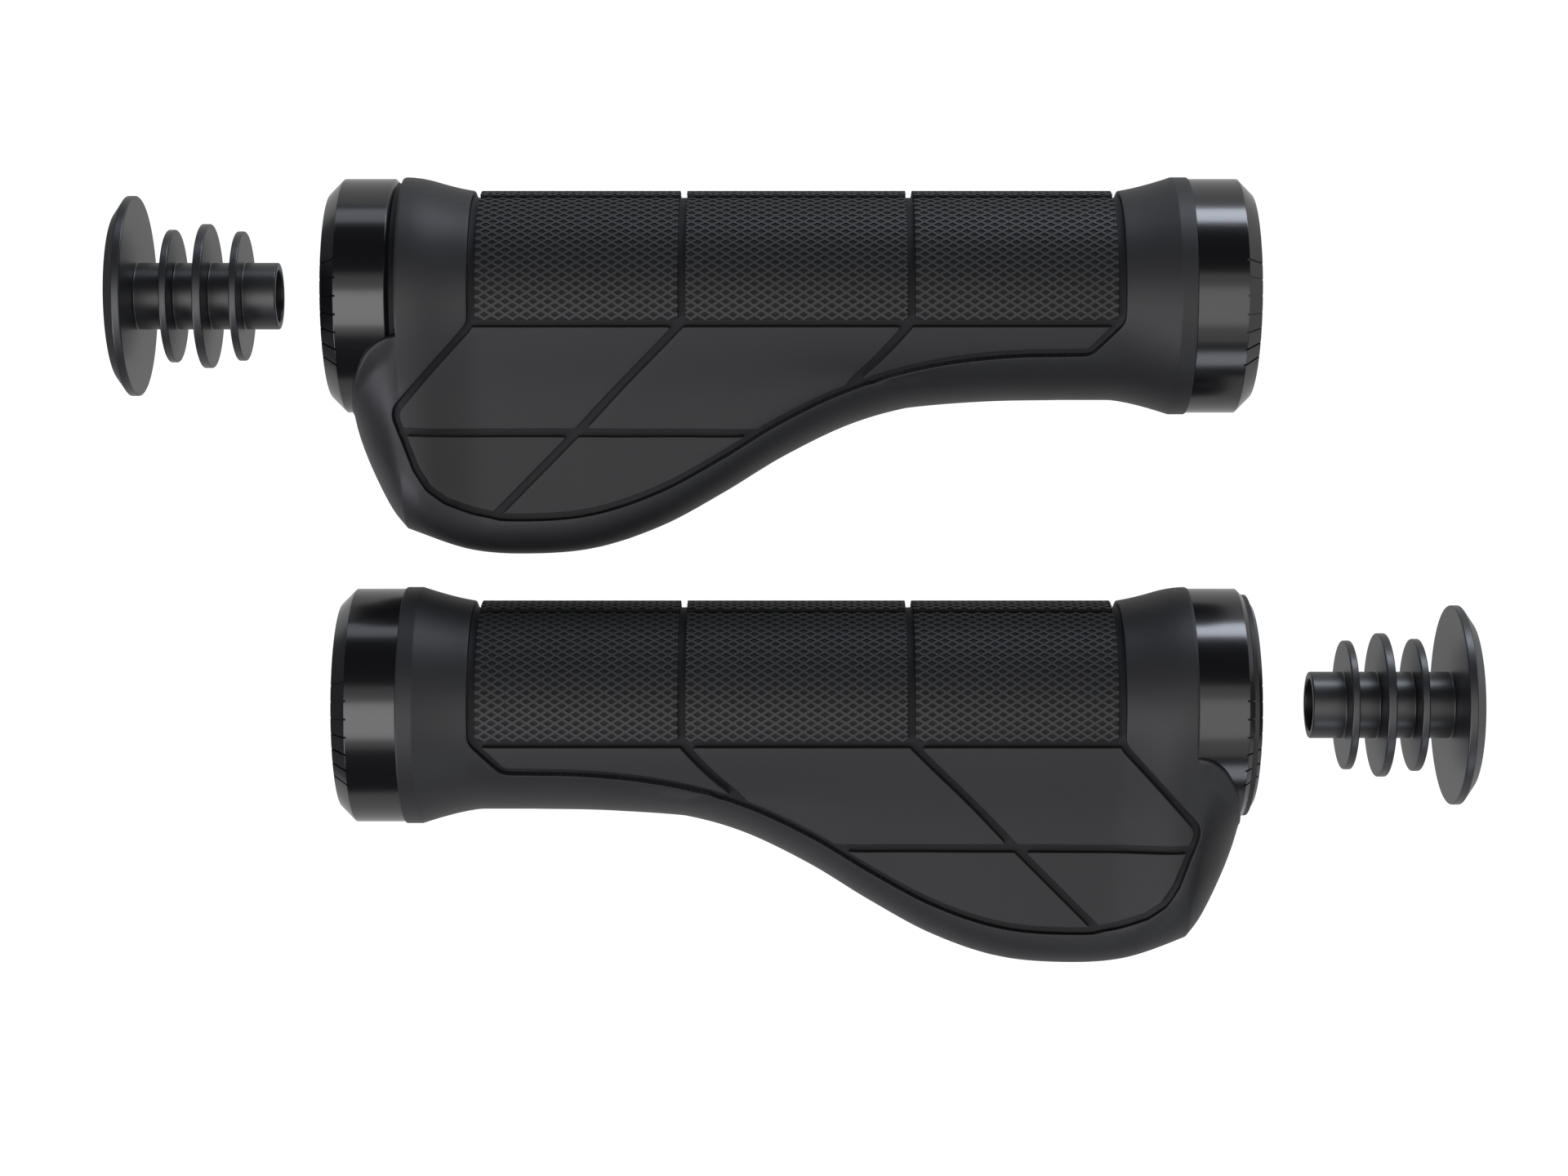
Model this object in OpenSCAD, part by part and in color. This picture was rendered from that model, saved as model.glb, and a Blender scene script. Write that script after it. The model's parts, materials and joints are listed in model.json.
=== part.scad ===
// A pair of ergonomic lock-on handlebar grips with their bar end plugs.
// X runs along the bars (+X is the rider's right), +Y points forward and +Z up, palm side up.
// Both bar axes lie at the same height, and z = 0 is the plane that the shells' collars rest on.
// Each grip is drawn once, as the right-hand one, with its bar axis on X, the middle of its shell at
// x = 0 and its outer end towards +X. The left-hand grip is its mirror image.
// An angle round the bar counts from straight up, towards the rider (-Y).

/* [Handlebar] */
// Outside diameter of the bar that the grips slide on
bar_d = 22.2; // [22:0.1:22.4]
// Gap between the bar and the sleeve, on the diameter
bar_clearance = 0.1; // [0.05:0.05:0.2]

/* [Grip] */
// Length of the rubber shell between its two clamps
shell_len = 116.8; // [116:0.2:118]
// Diameter of the barrel under the fingers
barrel_d = 31.2; // [30:0.2:31.6]
// Diameter of the flared collars where the shell meets the clamps
collar_d = 35.5; // [35.3:0.1:35.7]
// Distance from the bar axis to the furthest point of the palm rest
palm_reach = 38.8; // [38:0.1:39.6]
// Radius of the palm rest's rounded edge at its widest
palm_edge_r = 6.7; // [6:0.1:7.5]
// How far the palm rest's edge drops below the bar axis where it leaves the barrel
palm_drop = 2.3; // [1:0.1:3]
// Depth of the hollow across the top of the palm rest
palm_hollow = 1.4; // [0:0.1:2]
// Distance between the two bar axes as the pair lies
pair_spacing = 61.5; // [60:0.5:90]

/* [Soft pads] */
// Depth of the recess that the pads sit in
recess_depth = 1.2; // [0.8:0.1:1.4]
// Width of the grooves between the pads
groove_w = 1.15; // [0.8:0.05:1.4]
// Width of the plain rubber rim round the palm rest
rim_w = 4.75; // [4:0.05:5.5]

/* [Clamps] */
// Outside diameter of the clamp rings
ring_d = 35; // [34.8:0.1:35.1]
// Length of a clamp ring beyond the shell
ring_len = 9.6; // [9.4:0.1:10.4]
// Length and depth of the 45 degree chamfer at its outer end
ring_chamfer = 2.2; // [1.8:0.1:2.4]
// How far the left-hand outer clamp stands off its seat
left_ring_gap = 1.6; // [0.2:0.1:2]
// Number of index lines on the chamfer
tick_count = 7; // [3:1:9]
// Angle between index lines
tick_pitch = 8.8; // [6:0.2:10]
// Diameter of the clamp bolt's thread
bolt_d = 3; // [2.8:0.1:3]
// Diameter of the clamp bolt's cylindrical head
bolt_head_d = 5.5; // [5:0.1:5.6]

/* [End plug] */
// Diameter of the cap
cap_d = 30; // [28:0.5:32]
// Thickness of the cap
cap_t = 2.85; // [2.6:0.05:3.2]
// Outside diameter of the stem
stem_d = 10; // [9:0.2:11]
// Length of the stem below the cap
stem_len = 21.2; // [20:0.1:24]
// Diameter of the widest fin
fin_d = 21.6; // [20:0.1:22]
// Distance from the middle of the shell to the cap's inner face, with the left-hand plug pulled out
left_plug_out = 98.9; // [97:0.1:104]
// The same for the right-hand plug
right_plug_out = 98.3; // [97:0.1:104]

/* [Hidden] */
PLACES = ["outer", "middle", "inner"];

$fn = 96;
eps = 0.01;
far = 60; // longer than any cut needs

// Bar and sleeve
bore_r = (bar_d + bar_clearance) / 2;
sleeve_r = bore_r + 1.45;
neck_r = sleeve_r + 1;
neck_end = shell_len / 2 + 2.5;
neck_gap = 0.7; // space past the neck, so that a clamp seats on the shell
lug_root_r = sleeve_r + 0.4;
lug_r = neck_r + 1.5;
lug_w = 4;
lug_angles = [0, 120, 240];
slip = 0.15; // gap between parts that slide past each other

// Shell
shell_end = shell_len / 2;
barrel_r = barrel_d / 2;
collar_r = collar_d / 2;
flare_start = 47;
flare_end = shell_end - 2.4;
flare_power = 1.4;
socket_depth = 2.1; // recess in the shell's end that takes the clamp's spigot
cut_steps = 48; // flats of the round cuts in the rubber
lobe_end = shell_end + 8.4;
lobe_base_r = collar_r - 0.05;
lobe_tail = 0.43; // how much the lobe's flank turns away from the top by its outer end
ring_r = ring_d / 2;
lobe_cut_r = collar_r + 0.05;

// The palm rest's edge as seen from above: [distance along the bar, share of the rise from the barrel]
function edge(shape) = [for (p = shape) [p[0], barrel_r + p[1] * (palm_reach - barrel_r)]];
palm_edge = edge([[-40, 0], [-28, 0.012], [-18, 0.062], [-8, 0.175], [2, 0.375], [11, 0.607],
    [20, 0.815], [30, 0.96], [40, 1], [49, 0.972], [58.4, 0.837]]);
lobe_edge = edge([[58.4, 0.837], [60.9, 0.715], [63.4, 0.53], [65.6, 0.32], [66.8, 0.14]]);
// Height of the edge's centre beside the bar axis: [distance along the bar, share of the drop]
edge_heights = [[-36, 0], [-14, -0.95], [14, -1], [30, -0.5], [44, -0.15], [54, 0], [58.4, -0.4],
    [62, -1.5], [66.8, -2.3]];
// Angles of a cross-section's points, close together round the palm rest's edge
angles = [for (a = [0 : 7.5 : 60]) a, for (a = [64 : 4 : 124]) a, for (a = [130 : 7.5 : 355]) a];

// Stations along the bar: close together where the shape changes
stations = concat([-shell_end, -flare_end, -53.6, -51.4, -49.2, -flare_start, -36, -28, -21],
    [for (u = [-15 : 6 : 45]) u], [flare_start, 49.2, 51.4, 53.6, flare_end, shell_end],
    [for (t = [0.22, 0.42, 0.6, 0.76, 0.89, 1]) shell_end + t * (lobe_end - shell_end)]);

// Pads
top_pad_span = [-62.5, 18];
front_pad_span = [-163, -66.7];
column_edge = 48.1;
column_line = 16.8;
groove_v = 5.3; // distance of the groove along the top from the bar axis
cross_groove_v = 21;
palm_corner = [59.9, 18.1];
palm_toe = [[56.5, 26.7], [54.6, 29.7], [52, 31.6], [48, 33]];
palm_round = 2.6;
rim_extra = 0.8; // how much wider the rim is at the inner end of the palm rest

// Clamps
ring_outer = shell_end + ring_len;
bevel = 0.65; // 45 degree bevel from the ring down to its spigot
spigot_r = ring_r - bevel;
spigot_start = shell_end - socket_depth + 0.1;
bolt_u = shell_end + 5.1;
bolt_r = bolt_d / 2;
bolt_head_r = bolt_head_d / 2;
bolt_fit = 0.05;
bolt_drop = 14.25; // distance of the bolt's axis below the bar axis
bolt_seat = 4;
bolt_head_len = 3;
bolt_len = 12;
hex_af = 2.5;
split_w = 1.5;
tick_centre = 14;
tick_w = 0.35;
tick_depth = 0.25;

// Plug
cap_rim = 1.2;
cap_face_r = cap_d / 2 - 2.35;
stem_bore_r = 3.95;
fin_places = [5.3, 10.45, 15.6]; // distance of each fin's middle below the cap
fin_sizes = [fin_d - 1.7, fin_d, fin_d - 2.2];
fin_ts = [1.15, 1.35, 1.15];

// Places of the two grips
axis_z = collar_r;
left_y = (pair_spacing + palm_reach - collar_r) / 2;
right_y = left_y - pair_spacing;

// A smooth curve through points p, read at u. Slopes at the points are those of their neighbours.
function slope(p, i) =
    let(a = p[max(0, i - 1)], b = p[min(len(p) - 1, i + 1)]) (b[1] - a[1]) / (b[0] - a[0]);
function span_of(p, u, i = 0) = i >= len(p) - 2 || u <= p[i + 1][0] ? i : span_of(p, u, i + 1);
function curve(p, u) =
    u <= p[0][0] ? p[0][1] :
    let(i = span_of(p, u), h = p[i + 1][0] - p[i][0], t = min(1, (u - p[i][0]) / h))
    (1 + 2 * t) * (1 - t) * (1 - t) * p[i][1] + t * (1 - t) * (1 - t) * h * slope(p, i)
    + t * t * (3 - 2 * t) * p[i + 1][1] - t * t * (1 - t) * h * slope(p, i + 1);

// Radius of the round part of the shell at distance u along the bar
function round_r(u) =
    u > shell_end + eps ? lobe_base_r
    : barrel_r + (collar_r - barrel_r)
        * pow(max(0, min(1, (abs(u) - flare_start) / (flare_end - flare_start))), flare_power);
// Distance of the palm rest's edge from the bar axis
function reach(u) = max(round_r(u) + eps, u > shell_end + eps ? curve(lobe_edge, u) : curve(palm_edge, u));
// How steeply the palm rest narrows from the barrel to its edge, as the cosine of the flank's turn
function taper(u) =
    (barrel_r - palm_edge_r) / (palm_reach - palm_edge_r)
    + (u > shell_end ? lobe_tail * pow((u - shell_end) / (lobe_end - shell_end), 3) : 0);
// Radius of the rounded edge, and the angle of its centre from straight up
function edge_r(u) = (round_r(u) - taper(u) * reach(u)) / (1 - taper(u));
function edge_angle(u) =
    90 - atan(palm_drop * curve(edge_heights, u) / max(reach(u) - edge_r(u), palm_drop));

// A cross-section is the round part and the rounded edge wrapped together. This is its radius at angle a,
// with its whole outline moved in by inset.
function wrap_r(a, r0, r1, d, tilt, turn, hollow) =
    let(top = tilt - turn, bottom = tilt + turn,
        tip = [for (s = [-1, 1]) atan2(d * sin(tilt) + r1 * sin(tilt + s * turn),
            d * cos(tilt) + r1 * cos(tilt + s * turn))],
        tip_bottom = tip[1] < 0 ? tip[1] + 360 : tip[1])
    a <= top || a >= bottom ? r0
    : a < tip[0] ? (r0 - hollow * sin(180 * pow((a - top) / (tip[0] - top), 2))) / cos(a - top)
    : a > tip_bottom ? r0 / cos(bottom - a)
    : let(off = a - tilt) d * cos(off) + sqrt(max(0, r1 * r1 - pow(d * sin(off), 2)));
function section_r(u, a, inset) =
    let(r0 = round_r(u), r1 = edge_r(u), share = min(1, (reach(u) - r0) / (palm_reach - barrel_r)),
        fade = u > shell_end ? pow(1 - (u - shell_end) / (lobe_end - shell_end), 2) : 1)
    wrap_r(a, r0 - inset, r1 - inset, reach(u) - r1, edge_angle(u), acos(taper(u)),
        palm_hollow * share * fade);

// A solid through the cross-sections at all stations
module loft(inset) {
    n = len(angles);
    m = len(stations);
    points = [for (u = stations) for (a = angles)
        let(r = section_r(u, a, inset)) [u, -r * sin(a), r * cos(a)]];
    sides = [for (i = [0 : m - 2]) for (k = [0 : n - 1]) let(j = (k + 1) % n)
        [i * n + k, (i + 1) * n + k, (i + 1) * n + j, i * n + j]];
    near_end = [for (k = [0 : n - 1]) k];
    far_end = [for (k = [n - 1 : -1 : 0]) (m - 1) * n + k];
    polyhedron(points, concat(sides, [near_end, far_end]));
}

// A cylinder along X from u0 to u1, widening by flare
module bar(r, u0, u1, fn = $fn, flare = 0) {
    translate([u0, 0, 0]) rotate([0, 90, 0]) cylinder(r1 = r, r2 = r + flare, h = u1 - u0, $fn = fn);
}

// The same with its flats on or outside the radius r
module clear_bar(r, u0, u1, flare = 0) {
    wider = 1 / cos(180 / cut_steps);
    rotate([90 / cut_steps, 0, 0]) bar(r * wider, u0, u1, cut_steps, flare * wider);
}

// A wedge round the bar axis, from one angle to another
module wedge(u0, u1, a0, a1) {
    steps = ceil((a1 - a0) / 15);
    translate([u0, 0, 0]) rotate([90, 0, 90]) linear_extrude(u1 - u0)
        polygon(concat([[0, 0]], [for (i = [0 : steps]) let(a = a0 + (a1 - a0) * i / steps)
            [-far * sin(a), far * cos(a)]]));
}

// A flat shape in (distance along the bar, distance towards the rider), raised above the palm rest's edge
module above() {
    mirror([0, 1, 0]) linear_extrude(far) children();
}

// The palm recess from above: it follows the palm rest's edge at the rim's width
module palm_area() {
    offset(r = palm_round) offset(delta = -palm_round) polygon(concat(
        [[-column_edge, 0], [-column_edge, groove_v], [-43.3, 10]],
        [for (u = [-40.5 : 4.1 : 44])
            [u, curve(palm_edge, u) - rim_w - rim_extra * max(0, min(1, (-8 - u) / 26))]],
        [for (i = [3 : -1 : 0]) palm_toe[i]],
        [palm_corner, [column_edge, groove_v], [column_edge, 0]]));
}

// The side of the 45 degree groove through distance u, outwards for side 1 and inwards for side -1
module beside_diagonal(u, side) {
    translate([u, groove_v]) rotate(45)
        translate([-2 * far, side > 0 ? -2 * far - groove_w / 2 : groove_w / 2])
            square([4 * far, 2 * far]);
}

// The side of a groove along the bar at distance v, towards the rider for side 1
module beside_line(v, side) {
    translate([-2 * far, side > 0 ? v + groove_w / 2 : v - groove_w / 2 - far]) square([4 * far, far]);
}

// One palm pad: row 0 next to the barrel or 1 at the heel of the hand, place 0 outer to 2 inner
module palm_pad(row, place) {
    intersection() {
        offset(delta = -groove_w) palm_area();
        beside_line(row == 0 ? groove_v : cross_groove_v, 1);
        if (row == 0) beside_line(cross_groove_v, -1);
        else square(far);
        if (place == 0) beside_diagonal(column_line, 1);
        else beside_diagonal(column_line, -1);
        if (place == 2) beside_diagonal(-column_line, -1);
        else beside_diagonal(-column_line, 1);
    }
}

// The skin between the outer surface and the floor of the recess
module skin() {
    difference() {
        loft(0);
        loft(recess_depth);
    }
}

// Draws its children once at each end of the grip
module both_ends() {
    children();
    mirror([1, 0, 0]) children();
}

// Rigid tube inside the shell, with a keyed neck at each end that the clamps fit over
module core_sleeve() {
    color("#1b1b1d") difference() {
        union() {
            bar(sleeve_r, -neck_end, neck_end);
            both_ends() sleeve_neck();
        }
        bar(bore_r, -far - neck_end, far + neck_end);
    }
}

module sleeve_neck() {
    start = shell_end - socket_depth;
    bar(neck_r, start, neck_end);
    for (a = lug_angles)
        rotate([a, 0, 0]) translate([start, -lug_w / 2, lug_root_r])
            cube([neck_end - start, lug_w, lug_r - lug_root_r]);
}

// Rubber frame: collars, palm rest and the lobe that wraps over the outer clamp, with the recess for the
// pads. The empty resize keeps its faces as one mesh.
module rubber_shell() {
    color("#2b2c30") resize([0, 0, 0]) difference() {
        union() {
            difference() {
                loft(0);
                above() palm_area();
                wedge(-column_edge - eps, column_edge + eps, front_pad_span[0] - 4, top_pad_span[1] + 2);
            }
            loft(recess_depth);
        }
        clear_bar(lobe_cut_r, shell_end, far + shell_end);
        clear_bar(sleeve_r, -far - shell_end, far);
        both_ends() {
            clear_bar(spigot_r + slip, shell_end - socket_depth, far + shell_end);
            clear_bar(spigot_r + 0.05, shell_end - bevel, shell_end + 0.02, bevel + 0.02);
        }
    }
}

// Knurled pads in three columns along the barrel: on top, and round the front to the underside
module barrel_pad(span, place) {
    ends = [[column_line + groove_w / 2, column_edge - groove_w],
        [-column_line + groove_w / 2, column_line - groove_w / 2],
        [-column_edge + groove_w, -column_line - groove_w / 2]];
    color("#303136") resize([0, 0, 0]) intersection() {
        skin();
        wedge(ends[place][0], ends[place][1], span[0], span[1]);
    }
}

// Smooth pads on the palm rest
module smooth_pad(row, place) {
    color("#38383a") resize([0, 0, 0]) intersection() {
        skin();
        above() palm_pad(row, place);
    }
}

// Split aluminium clamp ring with its spigot towards the shell, drawn for the +X end
module clamp() {
    color("#141416") difference() {
        rotate([90, 0, 90]) rotate_extrude() polygon([[bore_r, neck_end + neck_gap],
            [neck_r + slip, neck_end + neck_gap], [neck_r + slip, spigot_start], [spigot_r, spigot_start],
            [spigot_r, shell_end - bevel], [ring_r, shell_end],
            [ring_r, ring_outer - ring_chamfer], [ring_r - ring_chamfer, ring_outer], [bore_r, ring_outer]]);
        for (a = lug_angles)
            rotate([a, 0, 0]) translate([spigot_start - 1, -lug_w / 2 - slip, lug_root_r])
                cube([neck_end + neck_gap - spigot_start + 1, lug_w + 2 * slip, lug_r + slip - lug_root_r]);
        translate([spigot_start - 1, -split_w / 2, -far]) cube([far, split_w, far]);
        translate([bolt_u, 0, -bolt_drop]) rotate([-90, 0, 0]) {
            cylinder(r = bolt_r + bolt_fit, h = 2 * far, center = true);
            translate([0, 0, bolt_seat]) cylinder(r = bolt_head_r + 0.25, h = far);
        }
        for (i = [0 : tick_count - 1]) tick(tick_centre + (i - (tick_count - 1) / 2) * tick_pitch);
    }
}

// An index line cut across the chamfer at angle a
module tick(a) {
    rotate([a, 0, 0]) translate([ring_outer - ring_chamfer / 2, 0, ring_r - ring_chamfer / 2])
        rotate([0, 45, 0]) translate([-2, -tick_w / 2, -tick_depth]) cube([4, tick_w, 1]);
}

// Socket head bolt across the clamp's split, head towards the front
module clamp_bolt() {
    color("#202022") translate([bolt_u, 0, -bolt_drop]) rotate([-90, 0, 0]) difference() {
        union() {
            translate([0, 0, bolt_seat + bolt_fit - bolt_len]) cylinder(r = bolt_r, h = bolt_len);
            translate([0, 0, bolt_seat + bolt_fit]) cylinder(r = bolt_head_r, h = bolt_head_len);
        }
        translate([0, 0, bolt_seat + bolt_head_len - 1.6])
            cylinder(r = hex_af / sqrt(3), h = 5, $fn = 6);
    }
}

// Bar end plug: a chamfered cap on a hollow stem with three gripping fins, drawn for the +X end
module end_plug(out) {
    color("#2a2a2d") translate([out, 0, 0]) rotate([90, 0, 90]) difference() {
        union() {
            rotate_extrude() polygon([[0, 0], [cap_d / 2, 0], [cap_d / 2, cap_rim],
                [cap_face_r, cap_t], [0, cap_t]]);
            translate([0, 0, -stem_len]) cylinder(r = stem_d / 2, h = stem_len + 1);
            for (i = [0 : 2]) translate([0, 0, -fin_places[i] - fin_ts[i] / 2])
                cylinder(d = fin_sizes[i], h = fin_ts[i]);
        }
        translate([0, 0, -stem_len - 1]) cylinder(r = stem_bore_r, h = stem_len + 1);
    }
}

// One named piece of a grip, in the right-hand grip's own place
module piece(name, ring_gap, plug_out) {
    if (name == "core_sleeve") core_sleeve();
    if (name == "rubber_shell") rubber_shell();
    for (i = [0 : 2]) {
        if (name == str("top_pad_", PLACES[i])) barrel_pad(top_pad_span, i);
        if (name == str("front_pad_", PLACES[i])) barrel_pad(front_pad_span, i);
        if (name == str("palm_pad_", PLACES[i])) smooth_pad(0, i);
    }
    if (name == "heel_pad_outer") smooth_pad(1, 0);
    if (name == "heel_pad_inner") smooth_pad(1, 1);
    if (name == "outer_clamp") translate([ring_gap, 0, 0]) clamp();
    if (name == "inner_clamp") mirror([1, 0, 0]) clamp();
    if (name == "outer_clamp_bolt") translate([ring_gap, 0, 0]) clamp_bolt();
    if (name == "inner_clamp_bolt") mirror([1, 0, 0]) clamp_bolt();
    if (name == "end_plug") end_plug(plug_out);
}

// A piece of the right-hand and of the left-hand grip, in its place
module right(name) {
    translate([0, right_y, axis_z]) piece(name, 0, right_plug_out);
}

module left(name) {
    translate([0, left_y, axis_z]) mirror([1, 0, 0]) piece(name, left_ring_gap, left_plug_out);
}

left("core_sleeve");  // left_core_sleeve
left("rubber_shell");  // left_rubber_shell
left("top_pad_outer");  // left_top_pad_outer
left("top_pad_middle");  // left_top_pad_middle
left("top_pad_inner");  // left_top_pad_inner
left("front_pad_outer");  // left_front_pad_outer
left("front_pad_middle");  // left_front_pad_middle
left("front_pad_inner");  // left_front_pad_inner
left("palm_pad_outer");  // left_palm_pad_outer
left("palm_pad_middle");  // left_palm_pad_middle
left("palm_pad_inner");  // left_palm_pad_inner
left("heel_pad_outer");  // left_heel_pad_outer
left("heel_pad_inner");  // left_heel_pad_inner
left("outer_clamp");  // left_outer_clamp
left("inner_clamp");  // left_inner_clamp
left("outer_clamp_bolt");  // left_outer_clamp_bolt
left("inner_clamp_bolt");  // left_inner_clamp_bolt
left("end_plug");  // left_end_plug
right("core_sleeve");  // right_core_sleeve
right("rubber_shell");  // right_rubber_shell
right("top_pad_outer");  // right_top_pad_outer
right("top_pad_middle");  // right_top_pad_middle
right("top_pad_inner");  // right_top_pad_inner
right("front_pad_outer");  // right_front_pad_outer
right("front_pad_middle");  // right_front_pad_middle
right("front_pad_inner");  // right_front_pad_inner
right("palm_pad_outer");  // right_palm_pad_outer
right("palm_pad_middle");  // right_palm_pad_middle
right("palm_pad_inner");  // right_palm_pad_inner
right("heel_pad_outer");  // right_heel_pad_outer
right("heel_pad_inner");  // right_heel_pad_inner
right("outer_clamp");  // right_outer_clamp
right("inner_clamp");  // right_inner_clamp
right("outer_clamp_bolt");  // right_outer_clamp_bolt
right("inner_clamp_bolt");  // right_inner_clamp_bolt
right("end_plug");  // right_end_plug
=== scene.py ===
"""Visual model of a pair of lock-on handlebar grips with their bar end plugs.

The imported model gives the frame: where each grip lies, its bodies and its joints. This script builds the
surfaces that show: moulded rubber shells with rounded recesses, soft pads with a raised diamond knurl,
bevelled clamp rings with index lines, threaded bolts and finned plugs.

A grip is drawn in its own millimetres, as the right-hand one. u runs along the bar towards the outer end,
v towards the rider and w up out of the palm rest. An angle round the bar counts from straight up, towards
the rider. A sheet is the outer surface rolled out flat: u along the bar, t the distance round the section.
"""

from __future__ import annotations

import json
import logging
import math
from collections.abc import Callable, Sequence
from dataclasses import dataclass, field
from enum import Enum

import bmesh
import bpy
import numpy as np
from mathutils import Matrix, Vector
from mathutils.geometry import delaunay_2d_cdt


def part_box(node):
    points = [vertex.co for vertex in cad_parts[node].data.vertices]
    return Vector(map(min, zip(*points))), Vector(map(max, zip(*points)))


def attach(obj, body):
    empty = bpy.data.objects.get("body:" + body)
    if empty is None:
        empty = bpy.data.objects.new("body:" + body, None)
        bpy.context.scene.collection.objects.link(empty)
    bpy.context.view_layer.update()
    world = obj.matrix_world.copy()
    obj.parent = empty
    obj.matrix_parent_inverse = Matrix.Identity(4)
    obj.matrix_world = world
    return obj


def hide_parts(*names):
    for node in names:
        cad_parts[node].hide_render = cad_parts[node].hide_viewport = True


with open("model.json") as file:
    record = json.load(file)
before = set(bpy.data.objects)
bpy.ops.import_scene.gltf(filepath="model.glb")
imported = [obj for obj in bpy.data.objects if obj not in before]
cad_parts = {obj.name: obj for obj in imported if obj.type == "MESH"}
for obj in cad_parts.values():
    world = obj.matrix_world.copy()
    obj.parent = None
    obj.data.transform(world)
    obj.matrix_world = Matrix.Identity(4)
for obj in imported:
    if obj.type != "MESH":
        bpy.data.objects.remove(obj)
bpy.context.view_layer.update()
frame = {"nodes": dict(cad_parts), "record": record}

LOG = logging.getLogger("grips")
MM = 0.001
Colour = tuple[float, float, float]


class Side(Enum):
    """The hand that a grip is for. The value is the sign of its outward direction along X."""

    LEFT = -1
    RIGHT = 1

    @property
    def word(self) -> str:
        """The side's name as the nodes and bodies spell it."""
        return self.name.lower()


class End(Enum):
    """An end of a grip. The value is the sign of its direction along the grip's own u."""

    OUTER = 1
    INNER = -1

    @property
    def word(self) -> str:
        """The end's name as the nodes and bodies spell it."""
        return self.name.lower()


# ---------------------------------------------------------------- finishes


def new_group(name: str, inputs: dict[str, float], outputs: Sequence[str]) -> bpy.types.NodeTree:
    """Makes an empty shader group with float inputs and outputs.

    Args:
        name: The group's name.
        inputs: Each input's name and default value.
        outputs: The names of the outputs.

    Returns:
        The group, with its input and output nodes in place.
    """
    group = bpy.data.node_groups.new(name, "ShaderNodeTree")
    face, kind = group.interface, "NodeSocketFloat"
    for label, value in inputs.items():
        face.new_socket(label, in_out="INPUT", socket_type=kind).default_value = value
    for label in outputs:
        face.new_socket(label, in_out="OUTPUT", socket_type=kind)
    group.nodes.new("NodeGroupInput")
    group.nodes.new("NodeGroupOutput")
    return group


def node_of(tree: bpy.types.NodeTree, kind: str, **settings: object) -> bpy.types.Node:
    """Adds a node and sets its properties.

    Args:
        tree: The tree that takes the node.
        kind: The node's type name.
        settings: Properties of the node, such as its operation.

    Returns:
        The new node.
    """
    node = tree.nodes.new(kind)
    for key, value in settings.items():
        setattr(node, key, value)
    return node


def grain_group() -> bpy.types.NodeTree:
    """Builds the group that gives the fine grain of moulded rubber and plastic.

    Returns:
        A group with the height of the grain and a slow mottling mask, both on Object coordinates.
    """
    group = new_group("moulded_grain", {"Size": 0.2, "Mottle Size": 8.0, "Pits": 0.3}, ["Height", "Mottle"])
    given, out = group.nodes["Group Input"], group.nodes["Group Output"]
    place = node_of(group, "ShaderNodeTexCoord")
    per_metre = [node_of(group, "ShaderNodeMath", operation="DIVIDE") for _ in range(2)]
    for node, label in zip(per_metre, ("Size", "Mottle Size"), strict=True):
        node.inputs[0].default_value = 1 / MM
        group.links.new(given.outputs[label], node.inputs[1])
    grain = node_of(group, "ShaderNodeTexNoise")
    grain.inputs["Detail"].default_value = 3.0
    pits = node_of(group, "ShaderNodeTexVoronoi", feature="SMOOTH_F1")
    mottle = node_of(group, "ShaderNodeTexNoise")
    mottle.inputs["Detail"].default_value = 5.0
    for texture, scale in ((grain, per_metre[0]), (pits, per_metre[0]), (mottle, per_metre[1])):
        group.links.new(place.outputs["Object"], texture.inputs["Vector"])
        group.links.new(scale.outputs[0], texture.inputs["Scale"])
    mixed = node_of(group, "ShaderNodeMix")
    group.links.new(given.outputs["Pits"], mixed.inputs[0])
    group.links.new(grain.outputs["Fac"], mixed.inputs[2])
    group.links.new(pits.outputs["Distance"], mixed.inputs[3])
    group.links.new(mixed.outputs[0], out.inputs["Height"])
    group.links.new(mottle.outputs["Fac"], out.inputs["Mottle"])
    return group


def rub_group() -> bpy.types.NodeTree:
    """Builds the group that gives faint lengthwise rub marks, as hands and tools leave them.

    Returns:
        A group with one mask on Object coordinates.
    """
    group = new_group("rub_marks", {"Length": 6.0, "Threshold": 0.6}, ["Marks"])
    given, out = group.nodes["Group Input"], group.nodes["Group Output"]
    place = node_of(group, "ShaderNodeTexCoord")
    stretch = node_of(group, "ShaderNodeMapping")
    stretch.inputs["Scale"].default_value = (1.0, 9.0, 9.0)
    size = node_of(group, "ShaderNodeMath", operation="DIVIDE")
    size.inputs[0].default_value = 1 / MM
    noise = node_of(group, "ShaderNodeTexNoise")
    noise.inputs["Detail"].default_value = 4.0
    ramp = node_of(group, "ShaderNodeMapRange", interpolation_type="SMOOTHSTEP")
    ramp.inputs["From Max"].default_value = 0.85
    group.links.new(place.outputs["Object"], stretch.inputs["Vector"])
    group.links.new(stretch.outputs[0], noise.inputs["Vector"])
    group.links.new(given.outputs["Length"], size.inputs[1])
    group.links.new(size.outputs[0], noise.inputs["Scale"])
    group.links.new(noise.outputs["Fac"], ramp.inputs["Value"])
    group.links.new(given.outputs["Threshold"], ramp.inputs["From Min"])
    group.links.new(ramp.outputs["Result"], out.inputs["Marks"])
    return group


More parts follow.
